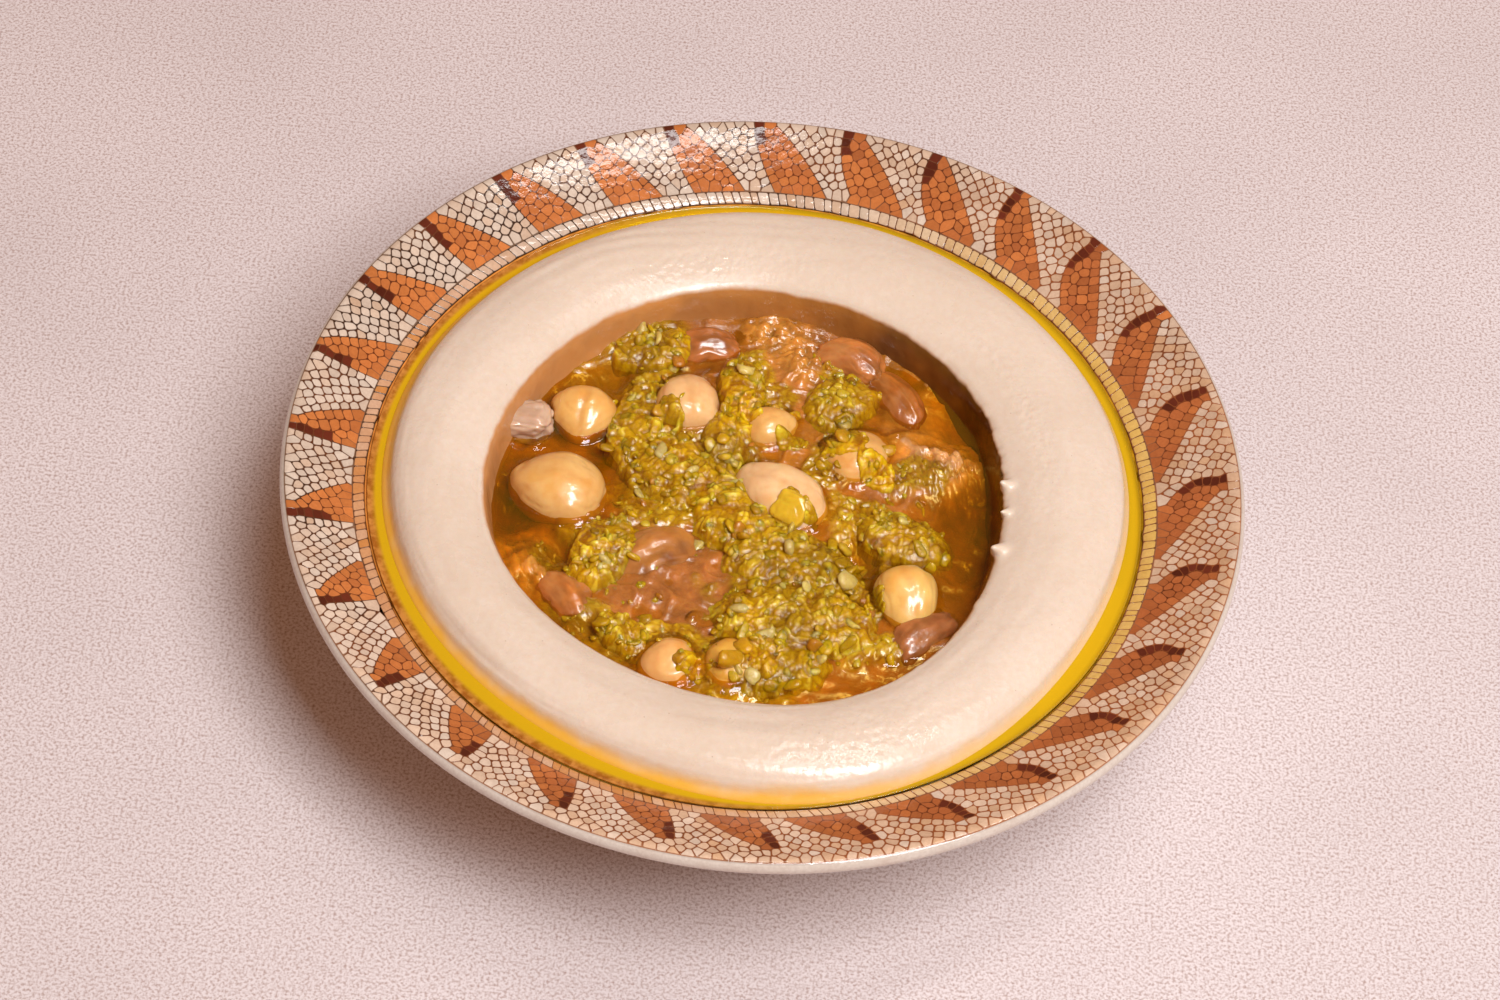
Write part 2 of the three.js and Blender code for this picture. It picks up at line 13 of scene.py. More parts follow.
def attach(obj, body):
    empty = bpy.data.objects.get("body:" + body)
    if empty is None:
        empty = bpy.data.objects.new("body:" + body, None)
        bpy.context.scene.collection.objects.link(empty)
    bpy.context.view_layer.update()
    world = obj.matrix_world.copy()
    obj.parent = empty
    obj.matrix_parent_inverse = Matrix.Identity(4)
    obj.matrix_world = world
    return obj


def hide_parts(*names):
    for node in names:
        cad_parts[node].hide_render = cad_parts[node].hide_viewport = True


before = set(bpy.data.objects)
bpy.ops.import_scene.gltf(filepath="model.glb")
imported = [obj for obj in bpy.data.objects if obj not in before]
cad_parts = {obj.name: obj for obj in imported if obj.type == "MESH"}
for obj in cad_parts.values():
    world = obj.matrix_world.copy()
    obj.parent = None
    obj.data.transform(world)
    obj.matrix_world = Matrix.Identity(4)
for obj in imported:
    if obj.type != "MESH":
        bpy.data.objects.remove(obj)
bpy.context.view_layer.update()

MM = 0.001
TURN = 2 * math.pi

# Bowl, as packed
BOWL_RADIUS = 80.0
BOWL_HEIGHT = 38.0
LIP_RADIUS = 1.4
BAND_INNER = 66.0
BAND_DROP = 4.9
BAND_BOW = 1.15
HOLLOW_SHIFT = (-1.2, -0.95)
INSIDE_WALL = [
    (0, 6), (28, 6.4), (44, 9.4), (54, 15.6), (60, 22.8),
    (63.2, 29), (64.35, 31.2), (64.9, 32.1), (65.4, 32.62),
]
OUTSIDE_WALL = [(78.4, 35.0), (73.5, 32.6), (68.6, 29), (63.5, 21), (56, 11.4), (46, 4.8), (39.2, 2.8)]
FOOT_RING = [(38.9, 0.5), (38.4, 0.0), (35.6, 0.0), (35.0, 0.5), (34.6, 2.4), (30.0, 2.8), (0.0, 2.8)]

# Contents, as packed
RING_OIL_LEVEL = 31.9
WELL_OIL_LEVEL = 27.3
WELL_RADIUS = 43.8
WELL_LOBES = [(1, 3.3, 226), (2, 0.45, 104), (3, 0.7, 58), (4, 0.5, 25)]
EDGE_RADIUS = 61.6
EDGE_LOBES = [(1, 0.75, 23), (2, 0.3, 124), (3, 0.7, 48), (4, 0.4, 12), (5, 0.25, 4)]
MASH_BASE = 25.4
MASH_MOUNDS = [
    (-2, 0, 27, 2.6), (2, 28, 14, 2.2), (0, -30, 16, 2.4), (24, 8, 14, 1.8),
    (-26, -20, 12, 1.8), (26, -24, 12, 2.0), (-20, 30, 10, 1.6),
]


# Numbers ---------------------------------------------------------------------------------------------------

def lerp(a, b, share):
    return a + (b - a) * share


def smooth_step(low, high, x):
    share = np.clip((x - low) / (high - low), 0, 1)
    return share * share * (3 - 2 * share)


def bell(x):
    """1 at nought, falling away on both sides."""
    return np.exp(-(x ** 2))


def hill(dx, dy, size):
    """A round hill of height 1 over the plan."""
    return np.exp(-(dx ** 2 + dy ** 2) / size ** 2)


def facing(angle, degrees):
    """1 towards the given side, -1 away from it."""
    return np.cos(angle - math.radians(degrees))


def in_plan(x, y):
    return np.stack([x, y, 0 * x], -1)


def circle(radius, z, angle, shift=(0.0, 0.0)):
    """Points round the axis. The radius and z are numbers, or one for each angle."""
    x, y = radius * np.cos(angle) + shift[0], radius * np.sin(angle) + shift[1]
    return np.column_stack([x, y, z + 0 * angle])


def wander(lobes, angle):
    return sum(reach * np.cos(count * (angle - math.radians(towards))) for count, reach, towards in lobes)


def hashed(ix, iy, iz, seed):
    """A repeatable number from 0 to 1 for each whole-number cell."""
    h = (ix * 374761393 + iy * 668265263 + iz * 2147483647 + seed * 1274126177) & 0xFFFFFFFF
    h = ((h ^ (h >> 13)) * 1274126177) & 0xFFFFFFFF
    h = ((h ^ (h >> 16)) * 2246822519) & 0xFFFFFFFF
    return ((h ^ (h >> 15)) & 0xFFFFFF) / float(0xFFFFFF)


def noise(points, size, seed=0):
    """Smooth value noise from -1 to 1 with features of the given size, at an array of points."""
    p = np.asarray(points, float) / size
    cell = np.floor(p).astype(np.int64)
    f = p - cell
    f = f * f * (3 - 2 * f)
    total = 0.0
    for corner in np.ndindex(2, 2, 2):
        x, y, z = np.moveaxis(cell + corner, -1, 0)
        total = total + np.where(corner, f, 1 - f).prod(-1) * hashed(x, y, z, seed)
    return 2 * total - 1


def fractal(points, size, octaves=3, seed=0, gain=0.5):
    total = 0.0
    for octave in range(octaves):
        total = total + gain ** octave * noise(points, size / 2 ** octave, seed + 17 * octave)
    return total


def cellular(points, size, seed):
    """Over the plan: distance to the nearest scattered point, how much farther the next is, its number."""
    p = np.asarray(points, float)[..., :2] / size
    cell = np.floor(p).astype(np.int64)
    best = np.full(p.shape[:-1], 9.0)
    second = best.copy()
    label = np.zeros_like(best)
    for dx in (-1, 0, 1):
        for dy in (-1, 0, 1):
            cx, cy = cell[..., 0] + dx, cell[..., 1] + dy
            to_x = cx + hashed(cx, cy, 0, seed) - p[..., 0]
            to_y = cy + hashed(cx, cy, 1, seed + 5) - p[..., 1]
            away = np.hypot(to_x, to_y)
            closer = away < best
            second = np.where(closer, best, np.minimum(second, away))
            label = np.where(closer, hashed(cx, cy, 2, seed + 9), label)
            best = np.where(closer, away, best)
    return best, second - best, label


def smooth_curve(points, steps):
    """A Catmull-Rom curve through rows of numbers, with a given count of steps between rows."""
    rows = np.array(points, float)
    padded = np.vstack([2 * rows[0] - rows[1], rows, 2 * rows[-1] - rows[-2]])
    out = []
    for i in range(1, len(padded) - 2):
        a, b, c, d = padded[i - 1 : i + 3]
        for step in range(steps):
            t = step / steps
            square, cube = 2 * a - 5 * b + 4 * c - d, 3 * b - a - 3 * c + d
            out.append(0.5 * (2 * b + (c - a) * t + square * t * t + cube * t ** 3))
    out.append(rows[-1])
    return np.array(out)


# Meshes ----------------------------------------------------------------------------------------------------

def place_object(name, data):
    placed = bpy.data.objects.new(name, data)
    bpy.context.scene.collection.objects.link(placed)
    return placed


def mesh_piece(name, verts, faces, material, replaces=(), colours=None, extra=None):
    """Makes a piece from millimetre points. colours is a linear colour for each point."""
    mesh = bpy.data.meshes.new(name)
    mesh.from_pydata((np.asarray(verts, float) * MM).tolist(), [], faces)
    mesh.validate()
    mesh.update()
    mesh.polygons.foreach_set("use_smooth", [True] * len(mesh.polygons))
    layer = mesh.color_attributes.new("tint", "FLOAT_COLOR", "POINT")
    rgba = np.ones((len(mesh.vertices), 4), np.float32)
    rgba[:, :3] = colours
    layer.data.foreach_set("color", rgba.ravel())
    for key, values in (extra or {}).items():
        attribute = mesh.attributes.new(key, "FLOAT", "POINT")
        attribute.data.foreach_set("value", np.asarray(values, np.float32))
    mesh.materials.append(material)
    piece = place_object(name, mesh)
    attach(piece, "root")
    if replaces:
        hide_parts(*replaces)


class Body:
    """Points with a colour each, and faces, put together from closed rings of points."""

    def __init__(self):
        self.points, self.colours, self.faces = [], [], []

    def add(self, points, colours):
        """Adds points of one colour, or with a colour each, and returns their numbers."""
        first = len(self.points)
        self.points += list(points)
        self.colours += list(np.broadcast_to(colours, (len(points), 3)))
        return list(range(first, len(self.points)))

    def join(self, ring, other):
        """Quads between two rings of as many points. They face up where the second ring is the wider one."""
        for i in range(len(ring)):
            j = (i + 1) % len(ring)
            self.faces.append((other[i], other[j], ring[j], ring[i]))

    def tube(self, rings, colours):
        """Rings joined one after the other. Returns the numbers of the first and of the last."""
        added = [self.add(ring, colour) for ring, colour in zip(rings, colours)]
        for ring, other in zip(added, added[1:]):
            self.join(ring, other)
        return added[0], added[-1]

    def close(self, ring, point, colour):
        """Triangles from a ring to a point. They face down, or up if the ring is given backwards."""
        middle = self.add([point], colour)[0]
        for i in range(len(ring)):
            self.faces.append((ring[i], middle, ring[(i + 1) % len(ring)]))

    def piece(self, name, material, slot, replaces, extra=None):
        mesh_piece(name, self.points, self.faces, material, replaces, self.colours, extra)


# Materials -------------------------------------------------------------------------------------------------

class Nodes:
    """Short calls to build a material's node tree."""

    def __init__(self, name):
        self.material = bpy.data.materials.new(name)
        self.material.use_nodes = True
        self.tree = self.material.node_tree
        self.tree.nodes.clear()
        self.output = self.tree.nodes.new("ShaderNodeOutputMaterial")

    def add(self, kind, inputs, output=0, **settings):
        """Adds a node, links or sets its inputs and returns one of its outputs."""
        node = self.tree.nodes.new(kind)
        for key, value in settings.items():
            setattr(node, key, value)
        for key, value in inputs.items():
            socket = node.inputs[key]
            if isinstance(value, bpy.types.NodeSocket):
                self.tree.links.new(value, socket)
            else:
                socket.default_value = (*value, 1) if socket.type == "RGBA" else value
        return node.outputs[output]

    def texture(self, kind, size, output, **inputs):
        place = self.add("ShaderNodeTexCoord", {}, "Object")
        return self.add(kind, {"Vector": place, "Scale": 1 / (size * MM), **inputs}, output)

    def noise(self, size, detail=3.0, roughness=0.5):
        return self.texture("ShaderNodeTexNoise", size, "Fac", Detail=detail, Roughness=roughness)

    def cells(self, size):
        return self.texture("ShaderNodeTexVoronoi", size, "Distance")

    def spread(self, factor, low, high, to_low=0.0, to_high=1.0):
        inputs = {"Value": factor, "From Min": low, "From Max": high, "To Min": to_low, "To Max": to_high}
        return self.add("ShaderNodeMapRange", inputs)

    def mix(self, factor, a, b, blend="MIX"):
        return self.add("ShaderNodeMix", {0: factor, 6: a, 7: b}, 2, data_type="RGBA", blend_type=blend)

    def maths(self, operation, a, b):
        return self.add("ShaderNodeMath", {0: a, 1: b}, operation=operation)

    def tint(self):
        return self.add("ShaderNodeAttribute", {}, "Color", attribute_name="tint")

    def value(self, name):
        return self.add("ShaderNodeAttribute", {}, "Fac", attribute_name=name)

    def bump(self, height, depth, strength, normal=None):
        inputs = {"Height": height, "Distance": depth * MM, "Strength": strength}
        if normal is not None:
            inputs["Normal"] = normal
        return self.add("ShaderNodeBump", inputs)

    def principled(self, **inputs):
        return self.add("ShaderNodeBsdfPrincipled", {key.replace("_", " "): inputs[key] for key in inputs})

    def finish(self, shader):
        self.tree.links.new(shader, self.output.inputs["Surface"])
        return self.material


def srgb(red, green, blue):
    """Linear colour from screen values of 0 to 255."""
    share = np.array([red, green, blue]) / 255
    return np.where(share <= 10 / 255, share / 12.92, ((share + 0.055) / 1.055) ** 2.4)


# Camera and light ------------------------------------------------------------------------------------------

CAMERA_PLACE = (0.0, -375.2, 489.8)
CAMERA_YAW = 0.30
CAMERA_PITCH = 39.056
CAMERA_ROLL = 4.84
CAMERA_LENS = 85.0
LIGHT_AIM = (0, 0, 30)
FLOOR_SIDE = 6.0  # in metres


def make_camera():
    data = bpy.data.cameras.new("camera")
    data.lens = CAMERA_LENS
    data.sensor_width = 36.0
    data.clip_start = 0.01
    camera = place_object("camera", data)
    place = Matrix.Translation(Vector(CAMERA_PLACE) * MM)
    for degrees, axis in ((CAMERA_YAW, "Z"), (CAMERA_PITCH, "X"), (CAMERA_ROLL, "Z")):
        place = place @ Matrix.Rotation(math.radians(degrees), 4, axis)
    camera.matrix_world = place
    bpy.context.scene.camera = camera


def make_light(name, place, size, power, colour):
    data = bpy.data.lights.new(name, "AREA")
    data.shape = "RECTANGLE"
    data.size = size[0] * MM
    data.size_y = size[1] * MM
    data.energy = power
    data.color = colour
    light = place_object(name, data)
    light.location = Vector(place) * MM
    light.rotation_euler = (Vector(LIGHT_AIM) - Vector(place)).to_track_quat("-Z", "Y").to_euler()


def make_studio():
    bpy.context.scene.view_settings.view_transform = "Standard"
    world = bpy.data.worlds.new("studio")
    world.use_nodes = True
    background = world.node_tree.nodes["Background"]
    background.inputs["Color"].default_value = (1.0, 0.46, 0.21, 1)
    background.inputs["Strength"].default_value = 0.262
    bpy.context.scene.world = world
    make_light("key", (372, -444, 1044), (390, 640), 13.8, (0.945, 0.99, 1.03))
    make_light("strip", (210, 70, 1000), (70, 460), 1.5, (1.0, 0.98, 0.96))


def make_floor():
    mesh = bpy.data.meshes.new("floor")
    half = FLOOR_SIDE / 2
    corners = [(-half, -half, 0), (half, -half, 0), (half, half, 0), (-half, half, 0)]
    mesh.from_pydata(corners, [], [(0, 1, 2, 3)])
    n = Nodes("pale_floor")
    grain = n.noise(0.5, 3, 0.6)
    colour = n.mix(n.spread(n.noise(60, 4), 0.35, 0.65), srgb(224, 213, 213), srgb(232, 221, 221))
    colour = n.mix(n.spread(grain, 0.44, 0.68), colour, srgb(178, 153, 146))
    shader = n.principled(Base_Color=colour, Roughness=0.75, Normal=n.bump(grain, 0.14, 0.7))
    mesh.materials.append(n.finish(shader))
    place_object("floor", mesh)


# Bowl ------------------------------------------------------------------------------------------------------

PATTERN_OUTER = 79.2  # the painted border ends on the lip
ROW_OUTER = 67.05  # row of long stones round the hollow
ROW_INNER = 64.98
BROWN_RINGS = (64.9, 64.5, 64.1, 63.5)  # brown line below the row
BROWN_END = 63.1
LIP_START = PATTERN_OUTER + 0.12
GLAZE_STEPS = 256
GHOST_RINGS = (ROW_OUTER - 1.9, PATTERN_OUTER + 1.8)  # stand in for stones beyond the border's two rings
LATE_TRIES = 9000  # tries to fill the gaps that are left
LINE = 0.21  # width of the painted joints

CREAM = srgb(218, 200, 182)
CREAM_WARM = srgb(206, 166, 130)
LEAF_ORANGE = srgb(206, 124, 66)
LEAF_BROWN = srgb(176, 100, 56)
STRIPE_BROWN = srgb(92, 38, 24)
JOINT_DARK = srgb(62, 42, 32)
JOINT_RUST = srgb(158, 88, 48)
LEAF_JOINT = srgb(112, 56, 30)
GLAZE_PLAIN = srgb(219, 207, 195)
BROWN_RIGHT = srgb(204, 158, 30)
BROWN_LEFT = srgb(232, 150, 70)
ROW_OILED = srgb(226, 184, 78)
ROW_SOAKED = srgb(204, 134, 66)


def inner_share(rho):
    """How far a ring of the bowl follows the hollow's own middle."""
    return np.clip((79.0 - rho) / (79.0 - BAND_INNER), 0, 1)


WALL_CURVE = smooth_curve(INSIDE_WALL + [(66.3, 33.0), (67.6, 33.36)], 8)


def band_height(rho):
    """Height of the bowl's upper side over a ring of radius rho, from the wall to the lip."""
    share = np.clip((rho - BAND_INNER) / 12.11, 0, None)
    band = BOWL_HEIGHT - 0.1 - BAND_DROP + BAND_DROP * share ** BAND_BOW
    wall = np.interp(rho, WALL_CURVE[:, 0], WALL_CURVE[:, 1])
    lip_middle = BOWL_RADIUS - LIP_RADIUS
    across = np.clip(rho - lip_middle, -LIP_RADIUS, LIP_RADIUS)
    lip = BOWL_HEIGHT - LIP_RADIUS + np.sqrt(LIP_RADIUS ** 2 - across ** 2)
    into_band = smooth_step(66.4, 68.4, rho)
    into_lip = smooth_step(77.9, 78.9, rho)
    return lerp(lerp(wall, band, into_band), lip, into_lip)


def ring_of(points):
    """The ring of the bowl that each plan point lies on."""
    rho = np.hypot(points[:, 0], points[:, 1])
    for _ in range(5):
        share = inner_share(rho)
        rho = np.hypot(points[:, 0] - share * HOLLOW_SHIFT[0], points[:, 1] - share * HOLLOW_SHIFT[1])
    return rho


def on_bowl(points):
    points = np.asarray(points, float)
    return np.column_stack([points, band_height(ring_of(points))])


def ring_point(rho, angle):
    shift = inner_share(rho) * np.array(HOLLOW_SHIFT)
    return np.array([rho * math.cos(angle), rho * math.sin(angle)]) + shift


def polar(radius, degrees):
    angle = math.radians(degrees)
    return np.array([radius * math.cos(angle), radius * math.sin(angle)])


LEAVES = 28
LEAF_FIRST = 107.08
LEAF_DRIFT = [(1, 2.02, 85), (2, 2.36, 41.6), (3, 0.91, 80.4)]  # uneven spacing in degrees, clockwise


def leaf_angle(k):
    turn = k * TURN / LEAVES
    angle = LEAF_FIRST + wander(LEAF_DRIFT, turn) - math.degrees(turn)
    return angle - 0.75 * math.cos(math.radians(angle))


def leaf_foot(at):
    """Radius of the leaves' feet, which follow the hollow, at an angle."""
    return 66.9 + HOLLOW_SHIFT[0] * math.cos(at) + HOLLOW_SHIFT[1] * math.sin(at)


def leaf_outline(k, v, side):
    """A point of leaf k: v runs from 0 at its tip to 1 at its foot, side from 0 on its left edge to 1."""
    angle = leaf_angle(k)
    lean = math.cos(math.radians(angle - 12))
    front = max(0, lean)
    along = max(v, 0)
    left = (3.0 + 2.6 * lean) * along ** (1.6 + 1.2 * front) - 0.9 * front * math.sin(math.pi * min(along, 1))
    right = 2.0 + (9.0 + 3.4 * lean) * along ** (0.8 + 0.5 * front) + 20 * min(v, 0)
    degrees = angle - lerp(left, right, side)
    tip = 77.2 + 1.9 * math.sin(math.radians(angle)) - math.cos(math.radians(angle))
    return polar(lerp(tip, leaf_foot(math.radians(degrees)), v), degrees)


def ahead(a, b):
    """How far angle a lies ahead of b, in degrees from -180 to 180."""
    return (a - b + 180) % 360 - 180


def degrees_of(point):
    return math.degrees(math.atan2(point[1], point[0]))


def resampled(points, gap):
    points = np.array(points)
    length = np.concatenate([[0], np.cumsum(np.hypot(*np.diff(points, axis=0).T))])
    count = max(2, int(round(length[-1] / gap)))
    at = (np.arange(count) + 0.5) * length[-1] / count
    return np.column_stack([np.interp(at, length, points[:, 0]), np.interp(at, length, points[:, 1])])


def side_normals(points):
    """Unit normals to the left of a line of points."""
    along = np.gradient(points, axis=0)
    along /= np.maximum(np.hypot(*along.T), 1e-9)[:, None]
    return np.column_stack([-along[:, 1], along[:, 0]])


class Seeds:
    """Middles of the painted stones, each of a kind, none too close to an earlier one."""

    def __init__(self):
        self.points = []
        self.kinds = []

    def clear_of(self, point, gap):
        away = np.array(self.points) - point
        return (away * away).sum(1).min() > gap * gap

    def add(self, point, kind, gap):
        rho = ring_of(np.array([point]))[0]
        if ROW_OUTER + 0.45 < rho < PATTERN_OUTER - 0.35 and (not self.points or self.clear_of(point, gap)):
            self.points.append(np.array(point))
            self.kinds.append(kind)

    def fill(self, point, gap):
        """Adds a stone of the kind that belongs at a point, if there is room."""
        if self.clear_of(point, gap):
            self.add(point, kind_at(point), gap)


STONE = 1.56  # usual size of a stone
EDGE_STONE = 0.66  # half the width of the stones along a leaf's edge


def leaf_seeds(seeds, k):
    """Stones in pairs across a leaf's outline, so that the joint between them follows it."""
    spots = np.linspace(0, 1.06, 40)
    left = resampled([leaf_outline(k, v, 0) for v in spots], 1.5)
    right = resampled([leaf_outline(k, v, 1) for v in spots], 1.62)
    cap_from, cap_to = leaf_outline(k, 0, 0), leaf_outline(k, 0, 1)
    middle = (cap_from + cap_to) / 2
    outward = middle / np.hypot(*middle)
    turns = np.linspace(0.3, math.pi - 0.3, 12)
    cap = [middle + math.cos(turn) * (cap_from - middle) + math.sin(turn) * outward for turn in turns]
    cap = resampled(cap, 1.3)
    # The dark brush mark lies on the cap and runs some way down the left edge
    mark = 0.52 - 0.24 * max(0, math.sin(math.radians(leaf_angle(k)))) ** 2
    for line, sign, dark_share in ((left, 1, mark), (cap, -1, 0.7), (right, -1, 0)):
        for i, (point, normal) in enumerate(zip(line, side_normals(line))):
            inward = normal * sign * EDGE_STONE
            dark = i / max(1, len(line) - 1) < dark_share
            seeds.add(point + inward, "stripe" if dark else "leaf", 0.8)
            seeds.add(point - inward, "cream", 0.8)


def kind_at(point):
    """What a stone is at a point: of a leaf or cream."""
    degrees = degrees_of(point)
    near = (k for k in range(LEAVES) if -16 < ahead(leaf_angle(k) - 6, degrees) < 16)
    return "leaf" if any(inside_leaf(point, k) for k in near) else "cream"


def leaf_filling(seeds, k, random):
    """The stones inside a leaf, in lines that run with it."""
    for side in (0.5, 0.28, 0.72, 0.4, 0.6):
        for v in np.arange(0.05, 1.0, 0.035):
            point = leaf_outline(k, v + 0.02 * (side > 0.5), side) + random.normal(0, 0.08, 2)
            seeds.add(point, "leaf", 1.5)


def joint_rows(seeds, k, random):
    """Rows of cream stones that repeat the leaf's right edge, out to the next leaf."""
    line = np.array([leaf_outline(k, v, 1) for v in np.linspace(-0.22, 1.12, 60)])
    for row in range(1, 14):
        moved = line + side_normals(line) * (EDGE_STONE + row * STONE * 0.98)
        for point in resampled(moved, STONE * 1.04):
            seeds.fill(point + random.normal(0, 0.09, 2), STONE * 0.78)


def inside_leaf(point, k):
    """True where a point lies between the two edges of leaf k."""
    degrees = degrees_of(point)
    tip = np.hypot(*leaf_outline(k, 0, 0))
    v = (tip - math.hypot(*point)) / (tip - leaf_foot(math.radians(degrees)))
    if not 0 <= v <= 1.1:
        return False
    left, right = (degrees_of(leaf_outline(k, v, side)) for side in (0, 1))
    return ahead(left, degrees) > 0 and ahead(degrees, right) > 0


def scatter_stones(random):
    seeds = Seeds()
    for k in range(LEAVES):
        leaf_seeds(seeds, k)
    for k in range(LEAVES):
        leaf_filling(seeds, k, random)
    for k in range(LEAVES):
        joint_rows(seeds, k, random)
    for _ in range(LATE_TRIES):
        angle = random.uniform(0, 360)
        seeds.fill(polar(math.sqrt(random.uniform(66.0 ** 2, PATTERN_OUTER ** 2)), angle), STONE * 0.86)
    return np.array(seeds.points), seeds.kinds


def circumcentre(a, b, c):
    ab, ac = b - a, c - a
    d = 2 * (ab[0] * ac[1] - ab[1] * ac[0])
    u = (ac[1] * (ab @ ab) - ab[1] * (ac @ ac)) / d
    w = (ab[0] * (ac @ ac) - ac[0] * (ab @ ab)) / d
    return a + np.array([u, w])


def stone_cells(points):
    """Voronoi cells of the stones, cut by the border's two rings. Corners are shared by their keys."""
    ghosts = [ring_point(rho, math.radians(at)) for at in np.arange(0, 360, 0.9) for rho in GHOST_RINGS]
    cloud = [Vector(p) for p in [*points, *ghosts]]
    verts, _, faces, originals = delaunay_2d_cdt(cloud, [], [], 0, 1e-5)[:4]
    back = {i: found[0] for i, found in enumerate(originals) if found}
    corners = np.array([circumcentre(*(np.array(verts[i]) for i in face)) for face in faces])
    round_seed = {}
    for f, face in enumerate(faces):
        for i in face:
            round_seed.setdefault(back[i], []).append(f)
    rings = ring_of(corners)
    keyed = {}

    def crossing(f, g, limit):
        """Where the side between two corners crosses a ring, found by halving."""
        f, g = min(f, g), max(f, g)
        key = ("x", f, g, limit)
        if key not in keyed:
            low, high = 0.0, 1.0
            for _ in range(24):
                middle = (low + high) / 2
                above = ring_of(np.array([lerp(corners[f], corners[g], middle)]))[0] > limit
                if above == (rings[g] > rings[f]):
                    high = middle
                else:
                    low = middle
            keyed[key] = lerp(corners[f], corners[g], (low + high) / 2)
        return key

    cells = []
    for i in range(len(points)):
        around = sorted(round_seed[i], key=lambda f: math.atan2(*(corners[f] - points[i])[::-1]))
        cell = []
        for f, g in zip(around, around[1:] + around[:1]):
            f_in, g_in = (ROW_OUTER <= rings[c] <= PATTERN_OUTER for c in (f, g))
            if f_in:
                keyed[("v", f)] = corners[f]
                cell.append(("v", f))
            if f_in != g_in:
                outside = rings[g if f_in else f]
                cell.append(crossing(f, g, ROW_OUTER if outside < ROW_OUTER else PATTERN_OUTER))
        cells.append(cell)
    return cells, keyed


def cut_corners(polygon, share):
    """Each corner becomes two, a share of the way along its sides."""
    rounded = []
    for i, corner in enumerate(polygon):
        rounded += [lerp(corner, polygon[i - 1], share), lerp(corner, polygon[(i + 1) % len(polygon)], share)]
    return rounded


def drawn_in(polygon, middle, depth):
    """The polygon's corners moved in by about a depth from each side."""
    moved = []
    for i, corner in enumerate(polygon):
        inward = middle - corner
        reach = []
        for other in (polygon[i - 1], polygon[(i + 1) % len(polygon)]):
            side = other - corner
            length = np.hypot(*side)
            if length > 1e-6:
                reach.append(abs(side[0] * inward[1] - side[1] * inward[0]) / length)
        nearest = max(min(reach, default=0), 1e-6)
        moved.append(lerp(middle, corner, max(0.7, 1 - depth / nearest)))
    return moved


def joint_colour(point, random, kinds=()):
    """Near-black joints on the left and far side turn rusty on the right and near side."""
    rust = 0.5 + 0.5 * facing(math.atan2(point[1], point[0]), -38)
    rust = rust ** 0.8 + 0.30 * float(noise([[*point, 0.0]], 9, 5)[0]) + random.normal(0, 0.10)
    if kinds and all(kind == "stripe" for kind in kinds):
        return STRIPE_BROWN * 0.8
    if kinds and all(kind != "cream" for kind in kinds):
        return LEAF_JOINT * random.uniform(0.7, 1.3)
    return lerp(JOINT_DARK, JOINT_RUST, np.clip(rust, 0, 1))


def stone_colour(kind, point, random):
    angle = math.atan2(point[1], point[0])
    right = 0.5 + 0.5 * facing(angle, -25)
    if kind == "leaf":
        base = lerp(LEAF_ORANGE, LEAF_BROWN, np.clip(right + random.normal(0, 0.22), 0, 1))
        return base * random.uniform(0.86, 1.12)
    if kind == "stripe":
        return STRIPE_BROWN * random.uniform(0.75, 1.5)
    base = lerp(CREAM, CREAM_WARM, np.clip(0.70 * right + random.normal(0.05, 0.22), 0, 1))
    # Painted light: cream stones on the near side are made lighter
    return base * random.uniform(0.90, 1.06) * (1 + 0.20 * max(0, -math.sin(angle)))


class Sheet(Body):
    """The bowl's painted face, laid out in plan."""

    def stone(self, outer, colour, random, line, rounding):
        """A painted stone inside its cell, whose outer corners are already points."""
        corners = [self.points[i] for i in outer]
        middle = sum(corners) / len(corners)
        joint = sum(self.colours[i] for i in outer) / len(outer)
        depth = line / 2 * random.uniform(0.7, 1.5)
        edge = self.add(cut_corners(drawn_in(corners, middle, depth * 0.55), rounding), joint)
        shades = [colour * random.uniform(0.95, 1.04) for _ in edge]
        face = self.add(cut_corners(drawn_in(corners, middle, depth * 1.35), rounding), shades)
        for i, corner in enumerate(outer):
            j = (i + 1) % len(outer)
            self.faces.append((corner, edge[2 * i + 1], edge[2 * i]))
            self.faces.append((corner, outer[j], edge[2 * j], edge[2 * i + 1]))
        self.join(face, edge)
        self.close(face[::-1], middle, colour * random.uniform(1.0, 1.05))

    def zip_loops(self, outer, inner):
        """Fills between two loops of points, the outer one larger."""
        outer, inner = (sorted(loop, key=self.angle) for loop in (outer, inner))

        def turn(loop, step):
            return self.angle(loop[step % len(loop)]) + TURN * (step // len(loop))

        i = j = 0
        while i < len(outer) or j < len(inner):
            here, there = outer[i % len(outer)], inner[j % len(inner)]
            if j >= len(inner) or (i < len(outer) and turn(outer, i + 1) <= turn(inner, j + 1)):
                i += 1
                self.faces.append((here, outer[i % len(outer)], there))
            else:
                j += 1
                self.faces.append((here, inner[j % len(inner)], there))

    def angle(self, index):
        return math.atan2(self.points[index][1], self.points[index][0]) % TURN


